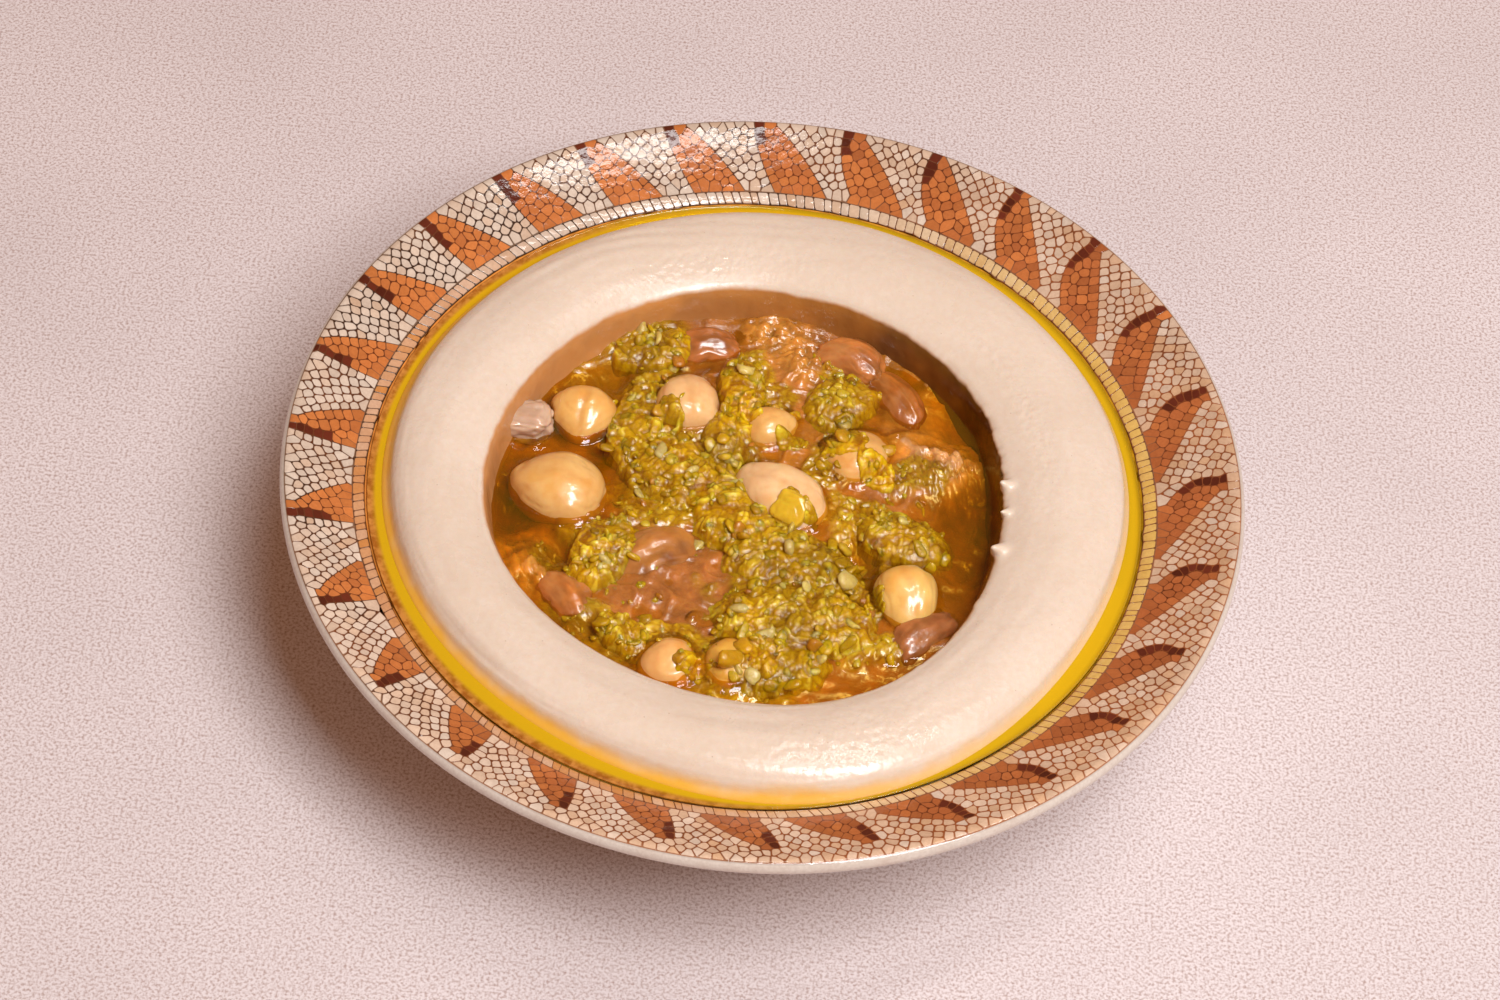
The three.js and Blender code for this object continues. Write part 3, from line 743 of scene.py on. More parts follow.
def lay_border(sheet, random):
    """The mosaic of leaves. Returns the points on its outer and on its inner ring."""
    points, kinds = scatter_stones(random)
    cells, keyed = stone_cells(points)
    ids, around = {}, {}
    for cell, kind in zip(cells, kinds):
        for key in cell:
            around.setdefault(key, []).append(kind)
    for cell, kind, point in zip(cells, kinds, points):
        if len(cell) < 3:
            continue
        for key in cell:
            if key not in ids:
                shade = joint_colour(keyed[key], random, around[key])
                shade = lerp(shade, CREAM_WARM, 0.35 * (key[0] == "x"))
                ids[key] = sheet.add([keyed[key]], shade)[0]
        line = LINE if kind == "cream" else LINE * 0.6
        rounding = 0.10 if any(key[0] == "x" for key in cell) else 0.22
        sheet.stone([ids[key] for key in cell], stone_colour(kind, point, random), random, line, rounding)
    cut = [(key[3], ids[key]) for key in ids if key[0] == "x"]
    return [i for ring, i in cut if ring == PATTERN_OUTER], [i for ring, i in cut if ring == ROW_OUTER]


def lay_row(sheet, random):
    """The row of long stones round the hollow. Returns its outer and its inner corners."""
    angles = [0.0]
    while angles[-1] < TURN - 0.012:
        angles.append(angles[-1] + 1.62 / 66 * random.uniform(0.78, 1.22))
    angles = np.array(angles[:-1]) * TURN / angles[-1]
    outer, inner = [], []
    for angle in angles:
        slant = 0.009 - 0.006 * math.cos(angle) + random.normal(0, 0.002)
        top = ring_point(ROW_OUTER - 0.03, angle + slant)
        low = ring_point(ROW_INNER + random.normal(0, 0.05), angle)
        outer += sheet.add([top], lerp(joint_colour(top, random), CREAM_WARM, 0.2))
        inner += sheet.add([low], joint_colour(low, random) * 0.8)
    for i, angle in enumerate(angles):
        j = (i + 1) % len(angles)
        colour = stone_colour("cream", sheet.points[outer[i]], random)
        oiled = 0.75 * smooth_step(0.0, 0.9, facing(angle, -5))
        soaked = smooth_step(0.1, 0.7, facing(angle, 205)) * random.uniform(0.45, 0.95)
        colour = lerp(lerp(colour, ROW_OILED, oiled), ROW_SOAKED, soaked)
        sheet.stone([inner[i], inner[j], outer[j], outer[i]], colour, random, LINE * 0.8, 0.12)
    return outer, inner


def make_bowl():
    random = np.random.default_rng(11)
    sheet = Sheet()
    border_outer, border_inner = lay_border(sheet, random)
    row_outer, row_inner = lay_row(sheet, random)
    # A brown line below the row, then plain glaze
    angle = np.arange(GLAZE_STEPS) * TURN / GLAZE_STEPS
    brown = lerp(BROWN_RIGHT, BROWN_LEFT, (0.5 - 0.5 * facing(angle, -10))[:, None])
    loops = []
    for rho in BROWN_RINGS:
        places = np.array([ring_point(rho, a) for a in angle])
        speckle = noise(np.column_stack([places, rho + 0 * angle]), 1.1, 9)
        loops.append(sheet.add(places, brown * (1 + 0.45 * speckle)[:, None]))
    loops.append(sheet.add([ring_point(BROWN_END, a) for a in angle], GLAZE_PLAIN))
    lip_start = sheet.add([ring_point(LIP_START, a) for a in angle], GLAZE_PLAIN * 0.8)
    sheet.zip_loops(border_inner, row_outer)
    sheet.zip_loops(row_inner, loops[0])
    sheet.zip_loops(lip_start, border_outer)
    for wide, narrow in zip(loops, loops[1:]):
        sheet.join(narrow, wide)
    sheet.points = list(on_bowl(sheet.points))
    # The lip's outer side, the outside and the foot
    middle = (BOWL_RADIUS - LIP_RADIUS, BOWL_HEIGHT - LIP_RADIUS)
    turns = np.linspace(math.acos((LIP_START - middle[0]) / LIP_RADIUS), math.radians(-50), 12)[1:]
    lip = [(middle[0] + LIP_RADIUS * math.cos(t), middle[1] + LIP_RADIUS * math.sin(t)) for t in turns]
    outside = [circle(r, z, angle) for r, z in [*lip, *smooth_curve(OUTSIDE_WALL, 6), *FOOT_RING[:-1]]]
    first, last = sheet.tube(outside, [GLAZE_PLAIN] * len(outside))
    sheet.join(lip_start, first)
    sheet.close(last, (0, 0, FOOT_RING[-1][1]), GLAZE_PLAIN)
    # The inside, from its middle out to the brown line
    inside = [circle(r, z, angle, HOLLOW_SHIFT) for r, z in WALL_CURVE if 0 < r < 63.0]
    first, last = sheet.tube(inside, [GLAZE_PLAIN] * len(inside))
    sheet.join(last, loops[-1])
    sheet.close(first[::-1], (*HOLLOW_SHIFT, WALL_CURVE[0][1]), GLAZE_PLAIN)
    sheet.piece("bowl_glazed", glaze_material(), "glazed_ware", ["bowl"])


def glaze_material():
    n = Nodes("painted_glaze")
    speckle = n.noise(0.55, 3, 0.6)
    colour = n.mix(n.spread(speckle, 0.3, 0.75, 0.0, 0.22), n.tint(), srgb(150, 110, 84), "MULTIPLY")
    colour = n.mix(n.spread(n.noise(7, 3), 0.45, 0.75, 0.0, 0.20), colour, srgb(206, 160, 120), "MULTIPLY")
    dimpled = n.bump(n.noise(2.4, 3, 0.55), 0.16, 0.5, n.bump(speckle, 0.02, 0.25))
    return n.finish(n.principled(Base_Color=colour, Roughness=0.10, IOR=1.5, Normal=dimpled))


# Hummus ----------------------------------------------------------------------------------------------------

HUMMUS_SECTION = [  # radius, height, shares of the edge's lobes, the well's lobes and the hollow's shift
    (62.0, 29.0, 0.4, 0, 1),
    (61.9, 30.6, 0.7, 0, 1),
    (61.6, 31.9, 1, 0, 1),
    (61.2, 33.4, 1, 0, 1),
    (60.2, 34.9, 0.95, 0, 0.95),
    (57.8, 36.1, 0.7, 0.2, 0.7),
    (53.2, 36.8, 0.4, 0.5, 0.4),
    (48.6, 36.2, 0.1, 0.9, 0.1),
    (45.4, 35.1, 0, 1, 0),
    (44.1, 34.3, 0, 1, 0),
    (43.5, 33.3, 0, 1, 0),
    (43.0, 31.6, 0, 1, 0),
    (42.4, 28, 0, 1, 0),
    (41.4, 22, 0, 1, 0),
]
HUMMUS_STEPS = 640
OUTER_ROWS = 45  # rows of points up to the ring's outer shoulder
CREST_ROWS = 60  # and up to its crest
LIP_ROW = 84  # the edge of the well
SOAKED_SIDE = 215  # degrees: the side that soaks up most oil
SOAKED_EDGE = srgb(238, 176, 26)
WALL_AMBER = srgb(204, 130, 38)
# Painted shade for the right side of the well's wall
WALL_PAINTED_SHADE = srgb(72, 33, 3)
SPOON_WAVES = 5
SPOON_DEPTH = 0.25
GLOSS_PATCHES = [  # towards, radius, width in degrees, depth: the near shoulder and the far and right lip
    (-70, 56, 17, 4.5), (106, 47.5, 22, 3.0), (20, 47, 24, 2.0),
]
LIP_PEAKS = [  # towards, size, rise, lean: torn peaks on the right of the lip
    (3, 1.6, 2.6, -0.5), (-5, 1.2, 2.2, -0.9), (-16, 2.0, 3.2, -1.0),
]


def hummus_row(row, angle):
    r, z, edge, well, shift = row
    radius = r + edge * wander(EDGE_LOBES, angle) + well * wander(WELL_LOBES, angle)
    waves = max(0, (z - 33) / 4) * SPOON_DEPTH * np.sin(SPOON_WAVES * angle + r / 6)
    return circle(radius, z + waves, angle, np.multiply(shift, HOLLOW_SHIFT))


def shape_hummus(section, angle):
    """The ring's rows of points, and how wet each point is."""
    rows = np.array([hummus_row(row, angle) for row in section])
    index = np.arange(len(section))[:, None]
    # A soft foot spreads into the oil on the left and near side
    flare = 0.45 + 0.55 * smooth_step(-0.3, 0.6, facing(angle, SOAKED_SIDE))
    foot = 0.95 * bell((section[:, 1:2] - RING_OIL_LEVEL) / 0.75) * (index < OUTER_ROWS) * flare
    rows += foot[..., None] * circle(1, 0, angle)
    radial = np.hypot(rows[..., 0], rows[..., 1])
    around = np.arctan2(rows[..., 1], rows[..., 0])
    outward = rows * [1, 1, 0] / radial[..., None]
    # Marks of the spoon run round the ring, drifting slowly across it
    drift = 0.55 * index + 3.0 * np.sin(angle * 2 + 0.6)
    lines = np.stack(np.broadcast_arrays(drift, 9 * np.cos(angle), 9 * np.sin(angle)), -1)
    top = smooth_step(RING_OIL_LEVEL, 34.5, rows[..., 2])
    crest = top * smooth_step(43.5, 47.0, radial)
    rows[..., 2] += 0.11 * fractal(lines, 3.2, 3, 3) * crest
    rows[..., 2] += 0.22 * noise(rows, 16, 8) * crest
    far_left = bell((around - math.radians(118)) / 0.42) * bell((radial - 54) / 5.0)
    ridge = np.sin(TURN * ((radial - 45) / 2.9 - (around - 2.0) * 2.6) + 2.0 * noise(rows, 9, 13))
    rows[..., 2] += 0.07 * ridge * far_left * crest
    rows[..., 2] += 0.015 * fractal(rows, 1.6, 3, 21) * top
    # Rough wall of the well, torn along its edge on the right
    wall = smooth_step(34.6, 33.4, rows[..., 2]) * (index > CREST_ROWS)
    rows += outward * (0.13 * fractal(rows * [1, 1, 0.5], 3.0, 3, 33) * wall)[..., None]
    torn = np.clip(fractal(circle(30, 0, angle), 2.4, 3, 41), 0, 1) * smooth_step(0.2, 0.9, facing(angle, -5))
    rows += outward * (-0.45 * torn * bell((index - LIP_ROW) / 8.0))[..., None]
    for degrees, base_size, rise, lean in LIP_PEAKS:
        out = polar(1, degrees)
        foot = out * (WELL_RADIUS + wander(WELL_LOBES, math.radians(degrees)) + 0.5)
        near = hill(rows[..., 0] - foot[0], rows[..., 1] - foot[1], base_size * 0.62) ** 1.5
        near *= rows[..., 2] > 32.5
        rows += near[..., None] * [-0.55 * rise * out[0], lean, 0.55 * rise]
    gloss = 0.0
    for degrees, ring, width, depth in GLOSS_PATCHES:
        turn = (around - math.radians(degrees) + math.pi) % TURN - math.pi
        gloss = gloss + bell(turn / math.radians(width)) * bell((radial - ring) / depth)
    return rows, gloss


def hummus_stains_and_shade(rows):
    """How much oil stain and painted shade each point of the ring has, and their colour."""
    index = np.arange(len(rows))[:, None]
    towards = np.arctan2(rows[..., 1], rows[..., 0])
    # Oil and bean liquor stain the wall amber, most on the right and lowest down; painted shade darkens the
    # right side of the wall towards near black.
    right = 0.5 + 0.5 * facing(towards, 12)
    low = smooth_step(34.35, 33.5, rows[..., 2] + 0.25 * fractal(rows, 3.5, 3, 47)) * (index > CREST_ROWS)
    # Painted shade: the wall darkens towards the right
    dark = np.clip(right ** 2.2 * low - 0.16 * fractal(rows, 5.0, 3, 49) * low, 0, 1)
    # Oil soaks a little way into the outer edge, most on the left and near side
    soak = smooth_step(34.7, 32.3, rows[..., 2] + 0.5 * fractal(rows, 4.0, 3, 53)) * (index < OUTER_ROWS)
    soak = soak * (0.45 + 0.55 * smooth_step(-0.3, 0.6, facing(towards, SOAKED_SIDE)))
    tint = np.where((soak > 0)[..., None], SOAKED_EDGE, lerp(WALL_AMBER, WALL_PAINTED_SHADE, dark[..., None]))
    return low * (0.82 + 0.18 * right) + 0.9 * soak, tint


def make_hummus():
    angle = np.arange(HUMMUS_STEPS) * TURN / HUMMUS_STEPS
    rows, gloss = shape_hummus(smooth_curve(HUMMUS_SECTION, 9), angle)
    stain_and_shade, tint = hummus_stains_and_shade(rows)
    ring = Body()
    outer, inner = ring.tube(rows, tint)
    # Closed below by the bowl's shape and the floor of the well
    bottom = [circle(r, z + 0.4, angle, HOLLOW_SHIFT) for r, z in INSIDE_WALL if 0 < r < 62]
    first, last = ring.tube(bottom, np.ones((len(bottom), 3)))
    ring.join(outer, last)
    ring.close(first, (*HOLLOW_SHIFT, 6.4), (1, 1, 1))
    ring.close(inner[::-1], (0, 0, 17.0), (1, 1, 1))
    plain = len(ring.points) - stain_and_shade.size
    extra = {"stain_and_shade": stain_and_shade, "gloss": gloss}
    extra = {name: np.pad(np.clip(values, 0, 1).ravel(), (0, plain)) for name, values in extra.items()}
    ring.piece("hummus_ring", hummus_material(), "hummus", ["hummus"], extra)


def hummus_material():
    n = Nodes("hummus")
    fine = n.noise(1.1, 4, 0.6)
    stained, glossy = n.value("stain_and_shade"), n.value("gloss")
    colour = n.mix(n.spread(n.noise(14, 3), 0.35, 0.65), srgb(225, 206, 187), srgb(231, 213, 195))
    colour = n.mix(n.spread(fine, 0.35, 0.7, 0.0, 0.35), colour, srgb(217, 190, 163))
    colour = n.mix(n.spread(n.cells(2.6), 0.055, 0.03, 0.0, 0.5), colour, srgb(176, 138, 104))
    # The wall's colour from the mesh: oil stain, with painted shade on the right of the well's wall
    colour = n.mix(stained, colour, n.tint())
    rough = n.maths("ADD", n.noise(9, 4, 0.6), n.maths("MULTIPLY", glossy, 0.22))
    rough = n.spread(rough, 0.42, 0.68, 0.36, 0.15)
    rough = n.maths("SUBTRACT", rough, n.maths("MULTIPLY", stained, n.maths("SUBTRACT", rough, 0.13)))
    curd = n.bump(n.noise(1.4, 2, 0.4), 0.40, n.maths("ADD", n.maths("MULTIPLY", glossy, 0.8), 0.06))
    shader = n.principled(
        Base_Color=colour,
        Roughness=rough,
        IOR=1.5,
        Subsurface_Weight=0.2,
        Subsurface_Radius=(1.0, 0.55, 0.3),
        Subsurface_Scale=0.0012,
        Normal=n.bump(fine, 0.08, 0.45, n.bump(n.cells(1.5), 0.07, 0.3, curd)),
    )
    return n.finish(shader)


# Oil -------------------------------------------------------------------------------------------------------

def oil_material():
    """Clear oil: what lies below is tinted by the depth stored on the mesh."""
    n = Nodes("olive_oil")
    ripple = n.bump(n.noise(4, 2), 0.05, 0.2)
    through = n.add("ShaderNodeBsdfTransparent", {"Color": n.tint()})
    mottled = n.mix(n.spread(n.noise(1.2, 3), 0.36, 0.64), srgb(172, 102, 34), srgb(222, 150, 70))
    colour = n.mix(n.value("brown"), srgb(250, 202, 28), mottled)
    cloudy = n.principled(Base_Color=colour, Roughness=0.3, Specular_IOR_Level=0.0)
    body = n.add("ShaderNodeMixShader", {0: n.value("body"), 1: through, 2: cloudy})
    gloss = n.add("ShaderNodeBsdfGlossy", {"Color": (1, 1, 1), "Roughness": 0.04, "Normal": ripple})
    edge = n.add("ShaderNodeFresnel", {"IOR": 1.47, "Normal": ripple})
    return n.finish(n.add("ShaderNodeMixShader", {0: edge, 1: body, 2: gloss}))


OIL_CLEAR = np.array([0.99, 0.84, 0.12])  # what a millimetre of oil lets through, red, green and blue
WELL_OIL_CLEAR = np.array([0.90, 0.74, 0.30])
OIL_STEPS = 512


def make_oil_ring():
    angle = np.arange(OIL_STEPS) * TURN / OIL_STEPS
    inner = EDGE_RADIUS + wander(EDGE_LOBES, angle) - 0.15
    outer = 64.55
    shares = np.array([0, 0.03, 0.08, 0.16, 0.28, 0.42, 0.58, 0.72, 0.84, 0.92, 0.97, 1.0])
    levels = RING_OIL_LEVEL + 0.38 * np.exp(-shares / 0.10) + 0.30 * np.exp(-(1 - shares) / 0.10)
    across = [(lerp(inner, outer, share), level) for share, level in zip(shares, levels)]
    depths = [0.30 + 1.1 * min(1, 2.2 * min(share, 1 - share)) * (outer - inner) / 2.5 for share in shares]
    # The underside
    across += [(outer - 0.5, RING_OIL_LEVEL - 0.9), (inner + 0.5, RING_OIL_LEVEL - 0.9)]
    depths += [0 * angle, 0 * angle]
    shares = np.array([*shares, 1.0, 0.0])
    # Mottled brown on the outer left
    clear = smooth_step(0.62, 0.76, shares)[:, None] * smooth_step(-0.2, 0.5, facing(angle, 196))
    depth = np.array(depths) * (1 - 0.8 * clear)
    body = np.where(depth > 0, lerp(0.30 + 0.25 * np.minimum(depth, 1.2), 0.72, clear), 0.0)
    oil = Body()
    rings = [circle(radius, z, angle, HOLLOW_SHIFT) for radius, z in across]
    first, last = oil.tube(rings, OIL_CLEAR ** depth[..., None])
    oil.join(first, last)
    extra = {"body": body.ravel(), "brown": clear.ravel()}
    oil.piece("oil_ring_clear", oil_material(), "oil", ["oil_ring"], extra)


# Mash, relish and what lies in them ------------------------------------------------------------------------

MAUVE = srgb(164, 102, 54)
PINK = srgb(198, 124, 64)
GOLDEN = srgb(214, 148, 62)
TAN = srgb(232, 172, 110)
# Painted shade: dark amber for the mash in the gaps by the well's wall
AMBER_PAINTED_SHADE = srgb(140, 82, 13)
OLIVE = srgb(196, 146, 18)
MASH_BROWN = srgb(184, 116, 36)
MASH_ROWS = 156
MASH_STEPS = 420
MASH_BOTTOM = 17.8

MASH_PATCHES = [  # x, y, radius, colour
    (-14, 35, 5, MAUVE), (-9, 31, 6, MAUVE), (9, 35, 7, MAUVE), (17, 29, 4, PINK), (2, 24, 5, PINK),
    (-13, -13, 6.5, MAUVE), (-16, -19, 6, MAUVE), (-8, -18, 5, PINK), (-22, -27, 7, PINK), (-8, -26, 6, PINK),
    (-30, -22, 4, PINK), (27, -33, 9, PINK), (34, -19, 5, MAUVE), (14, -30, 4, PINK), (12, -39, 8, PINK),
    (20, 5, 6, PINK), (14, 0, 4, PINK), (3, 35, 5, GOLDEN), (-2, 37, 4, GOLDEN), (5, 29, 4, GOLDEN),
    (-39, -15, 6, GOLDEN), (-37, -19, 5, GOLDEN), (-31, 24, 7, OLIVE), (25, 14, 5, TAN), (31, 11, 7, TAN),
    # The dark amber patches are painted shade by the well's wall
    (36, 0, 7, AMBER_PAINTED_SHADE), (30, 22, 6, TAN), (38, 9, 4, AMBER_PAINTED_SHADE), (34, -8, 6, AMBER_PAINTED_SHADE),
    (-42, -4, 6, AMBER_PAINTED_SHADE),
]
MASH_CLUMPS = [  # x, y, radius, rise
    (3, 35, 5.0, 1.2), (-2, 37, 3.5, 0.8), (5, 29, 3.5, 0.9),
    (-39, -15, 5, 0.8), (-36, -19, 4, 0.7), (31, 11, 5.5, 1.7),
]
MASH_HOLLOWS = [  # x, y, radius, depth
    (17, -11, 3.6, 3.0), (-33, -15, 2.6, 2.4), (-5, 25, 2.2, 1.6), (-27, 9, 3.0, 2.2), (-43, -5, 5.0, 3.0),
    (37, 3, 7.0, 2.6), (34, 20, 6.0, 1.8), (-21, 8, 2.6, 1.2), (36, -10, 4.0, 1.2),
]


def mash_top(x, y):
    """Top of the mash as packed, at plan points."""
    return MASH_BASE + sum(rise * hill(x - cx, y - cy, spread) for cx, cy, spread, rise in MASH_MOUNDS)


PULP_SPREAD = [  # x, y, half length, half width, turn: thin relish pulp between the heaps
    (-21, 24, 6, 4, 70), (-24, 33, 7, 5, 20), (-17, 10, 7, 5, 60), (-18, -3, 8, 6, 0),
    (-26, -31, 10, 4.5, -40),
    (-10, -32, 9, 3.5, -20), (17, -2, 8, 4, -20), (25, 7, 6, 4, 30), (14, -20, 6, 6, 0), (10, 9, 4, 6, 0),
    (0, 22, 7, 4, 0), (-29, -9, 5, 4, 0), (20, -30, 6, 3, 30), (0, -39, 12, 3.5, 0), (14, 28, 6, 5, 20),
    (-33, -17, 5, 3, -50), (4, -20, 12, 12, 0), (-6, 5, 9, 9, 0), (22, -7, 9, 6, -10), (-3, 27, 4, 5, 0),
]
PULP_DARK = srgb(146, 90, 3)
PULP_MIDDLE = srgb(200, 156, 8)
PULP_LIGHT = srgb(228, 200, 56)


def pulp(points):
    """Height and colour of finely chopped, wet relish, with painted light and shade in its colour."""
    bent = np.array(points, float)
    bent[..., 0] += 0.45 * noise(points, 1.1, 203) + 1.1 * noise(points, 3.6, 205)
    bent[..., 1] += 0.45 * noise(points, 1.1, 207) + 1.1 * noise(points, 3.6, 209)
    _, wide_gap, wide = cellular(bent, 2.5, 211)
    _, small_gap, small = cellular(bent, 1.25, 223)
    wide_flat, small_flat = smooth_step(0, 0.35, wide_gap), smooth_step(0, 0.45, small_gap)
    height = (0.95 * (wide - 0.5) + 0.22) * wide_flat + (0.60 * (small - 0.5) + 0.20) * small_flat
    height += 0.14 * fractal(points, 0.9, 2, 225) - 0.28
    # Each lump's tone, lighter the higher it stands: partly its own colour, partly painted light on the tops
    light = 0.45 * wide + 0.40 * small + 0.15 * small_flat
    colour = lerp(PULP_DARK, PULP_MIDDLE, smooth_step(0.05, 0.42, light)[..., None])
    colour = lerp(colour, PULP_LIGHT, smooth_step(0.58, 0.95, light)[..., None])
    # Painted shade: the crevices between the lumps are darkened
    painted_crevice_shade = (1 - wide_flat) * 0.6 + (1 - small_flat) * 0.4
    colour = lerp(colour, PULP_DARK, 0.7 * painted_crevice_shade[..., None])
    broad = fractal(points, 7.0, 3, 227)
    colour = colour * (1 + 0.28 * broad)[..., None]
    return height + 0.30 * broad, colour


def ring_share(dx, dy, a, b, turn):
    """How far out a plan point lies in a turned ellipse: 0 in the middle, 1 on its edge."""
    t = math.radians(turn)
    return np.hypot((dx * math.cos(t) + dy * math.sin(t)) / a, (dy * math.cos(t) - dx * math.sin(t)) / b)


def nearest_share(x, y, ellipses):
    """The least ring_share of plan points over some ellipses."""
    return np.min([ring_share(x - cx, y - cy, a, b, turn) for cx, cy, a, b, turn in ellipses], axis=0)


def pulp_share(x, y):
    """Where thin pulp covers the mash, from 0 to 1."""
    wobble = 0.4 * fractal(in_plan(x, y), 5.0, 3, 231)
    return smooth_step(1.15, 0.75, nearest_share(x, y, PULP_SPREAD) + wobble)


def mash_surface(x, y):
    """Top of the mash with its lumps, clumps, hollows and the pulp on it."""
    flat = in_plan(x, y)
    covered = pulp_share(x, y)
    z = mash_top(x, y) + 0.50 * fractal(flat, 6.5, 2, 51) + 0.20 * fractal(flat, 2.4, 3, 57)
    fold = bell(noise(flat * [1, 1.7, 1], 5.5, 61) / 0.16) - 0.3
    z = z + 0.55 * fold * (1 - covered)
    _, gap, label = cellular(flat, 1.5, 241)
    grain = 0.1 + 1.2 * label + 0.5 * smooth_step(0, 0.4, gap)
    for cx, cy, size, rise in MASH_CLUMPS:
        z = z + rise * hill(x - cx, y - cy, size) * grain
    for cx, cy, size, depth in MASH_HOLLOWS:
        z = z - depth * hill(x - cx, y - cy, size)
    return z + covered * (0.50 + 0.8 * pulp(flat)[0])


def well_radius(angle, extra=0.0):
    return WELL_RADIUS - 1.3 + wander(WELL_LOBES, angle) + extra


def mash_colours(top):
    """Brown mash with its patches of skin and of painted shade by the wall, its clumps and the pulp on it."""
    x, y = top[..., 0], top[..., 1]
    wobble = 1 + 0.35 * noise(top * [1, 1, 0], 4.0, 71)
    colour, total = MASH_BROWN, 1.0
    for cx, cy, size, patch in MASH_PATCHES:
        weight = 3.0 * hill(x - cx, y - cy, size * 0.75 * wobble)[..., None]
        colour = colour + weight * patch
        total = total + weight
    colour = colour / total * (1 + 0.30 * fractal(top, 2.6, 3, 73))[..., None]
    grain = cellular(top, 1.5, 241)[2]
    # Each crumb's tone, lighter the higher it stands: partly its own colour, partly painted light on the tops
    for cx, cy, size, _ in MASH_CLUMPS:
        colour *= (1 + 0.55 * hill(x - cx, y - cy, size) * (grain - 0.45))[..., None]
    return lerp(colour, pulp(top)[1], 0.9 * pulp_share(x, y)[..., None])


def make_mash():
    angle = np.arange(MASH_STEPS) * TURN / MASH_STEPS
    share = ((np.arange(MASH_ROWS) + 1) / MASH_ROWS)[:, None] ** 0.8
    radius = share * well_radius(angle, 0.3)
    x, y = radius * np.cos(angle), radius * np.sin(angle)
    far = np.clip(np.sin(angle - 0.25), 0, 1)
    z = mash_surface(x, y) + 0.5 * smooth_step(0.93, 1.0, share) + 1.4 * smooth_step(0.84, 1.0, share) * far
    top = np.stack([x, y, z], -1)
    mash = Body()
    first, last = mash.tube(top, mash_colours(top))
    mash.close(first[::-1], (0, 0, mash_surface(np.zeros(1), np.zeros(1))[0]), mash.colours[0])
    # Sides and a plain bottom
    base = mash.add(circle(40.6 + 0.9 * wander(WELL_LOBES, angle), MASH_BOTTOM, angle), MASH_BROWN)
    mash.join(last, base)
    mash.close(base, (0, 0, MASH_BOTTOM), MASH_BROWN)
    mash.piece("mash", mash_material(), "bean_mash", ["fava_mash"])


def mash_material():
    n = Nodes("bean_mash")
    fine = n.noise(1.0, 4, 0.62)
    shader = n.principled(
        Base_Color=n.mix(n.spread(fine, 0.35, 0.7, 0.0, 0.35), n.tint(), srgb(170, 120, 70), "MULTIPLY"),
        Roughness=n.spread(fine, 0.3, 0.7, 0.12, 0.34),
        Subsurface_Weight=0.35,
        Subsurface_Radius=(1.0, 0.55, 0.2),
        Subsurface_Scale=0.0016,
        Coat_Weight=0.6,
        Coat_Roughness=0.06,
        Normal=n.bump(fine, 0.28, 0.55),
    )
    return n.finish(shader)


def ball(steps):
    """Points and triangles of a unit ball with a given count of halvings."""
    bm = bmesh.new()
    bmesh.ops.create_icosphere(bm, subdivisions=steps, radius=1.0)
    points = np.array([v.co[:] for v in bm.verts])
    faces = [tuple(v.index for v in f.verts) for f in bm.faces]
    bm.free()
    return points, faces


def turned(points, degrees, tilt=0.0):
    """Points tilted about Y and then turned about Z."""
    t, a = math.radians(-tilt), math.radians(degrees)
    x = points[:, 0] * math.cos(t) + points[:, 2] * math.sin(t)
    z = -points[:, 0] * math.sin(t) + points[:, 2] * math.cos(t)
    y = points[:, 1]
    return np.column_stack([x * math.cos(a) - y * math.sin(a), x * math.sin(a) + y * math.cos(a), z])


CHICKPEAS = [  # x, y, z, length, width, height, turn, tilt, cleft, corners, tint
    (-31.5, 15.3, 27.2, 11.4, 12.2, 10.4, -96, 4, 1.0, 0.3, (232, 182, 104)),
    (-34.0, -1.7, 27.2, 17.3, 14.0, 12.0, 172, 3, 0.2, 0.5, (228, 182, 112)),
    (-14.1, 18.9, 27.4, 12.6, 12.0, 10.6, 100, 5, 0.5, 0.8, (236, 190, 132)),
    (0.3, 15.6, 27.0, 10.2, 9.0, 9.2, 20, 0, 0.2, 0.5, (230, 182, 108)),
    (3.3, 0.6, 27.4, 17.8, 12.4, 11.0, 148, 6, 0.5, 0.6, (240, 198, 146)),
    (15.4, 10.8, 26.4, 13.4, 12.0, 10.0, 40, 0, 0.2, 0.6, (230, 178, 106)),
    (25.1, -18.4, 27.4, 12.6, 11.2, 10.6, -78, -8, 0.5, 1.0, (234, 190, 108)),
    (-12.8, -35.7, 26.4, 10.4, 9.8, 9.6, 200, 0, 0.2, 0.4, (238, 184, 114)),
    (-2.0, -34.8, 26.6, 11.6, 10.0, 9.8, 10, 4, 0.2, 0.7, (226, 176, 76)),
]
waterlines = []  # for each chickpea: middle, then its outline where the oil meets it
chickpea_points = []
chickpea_faces = []


def skin_material(name, deep, gloss, relief):
    n = Nodes(name)
    fine = n.noise(1.3, 3, 0.55)
    broad = n.noise(5, 2)
    colour = n.mix(n.spread(broad, 0.4, 0.7, 0.0, 0.35), n.tint(), deep, "MULTIPLY")
    colour = n.mix(n.spread(fine, 0.45, 0.75, 0.0, 0.2), colour, deep, "MULTIPLY")
    shader = n.principled(
        Base_Color=colour,
        Roughness=gloss,
        Subsurface_Weight=0.35,
        Subsurface_Radius=(1.0, 0.5, 0.2),
        Subsurface_Scale=0.0018,
        Coat_Weight=0.8,
        Coat_Roughness=0.10,
        Normal=n.bump(fine, 0.10, relief),
    )
    return n.finish(shader)


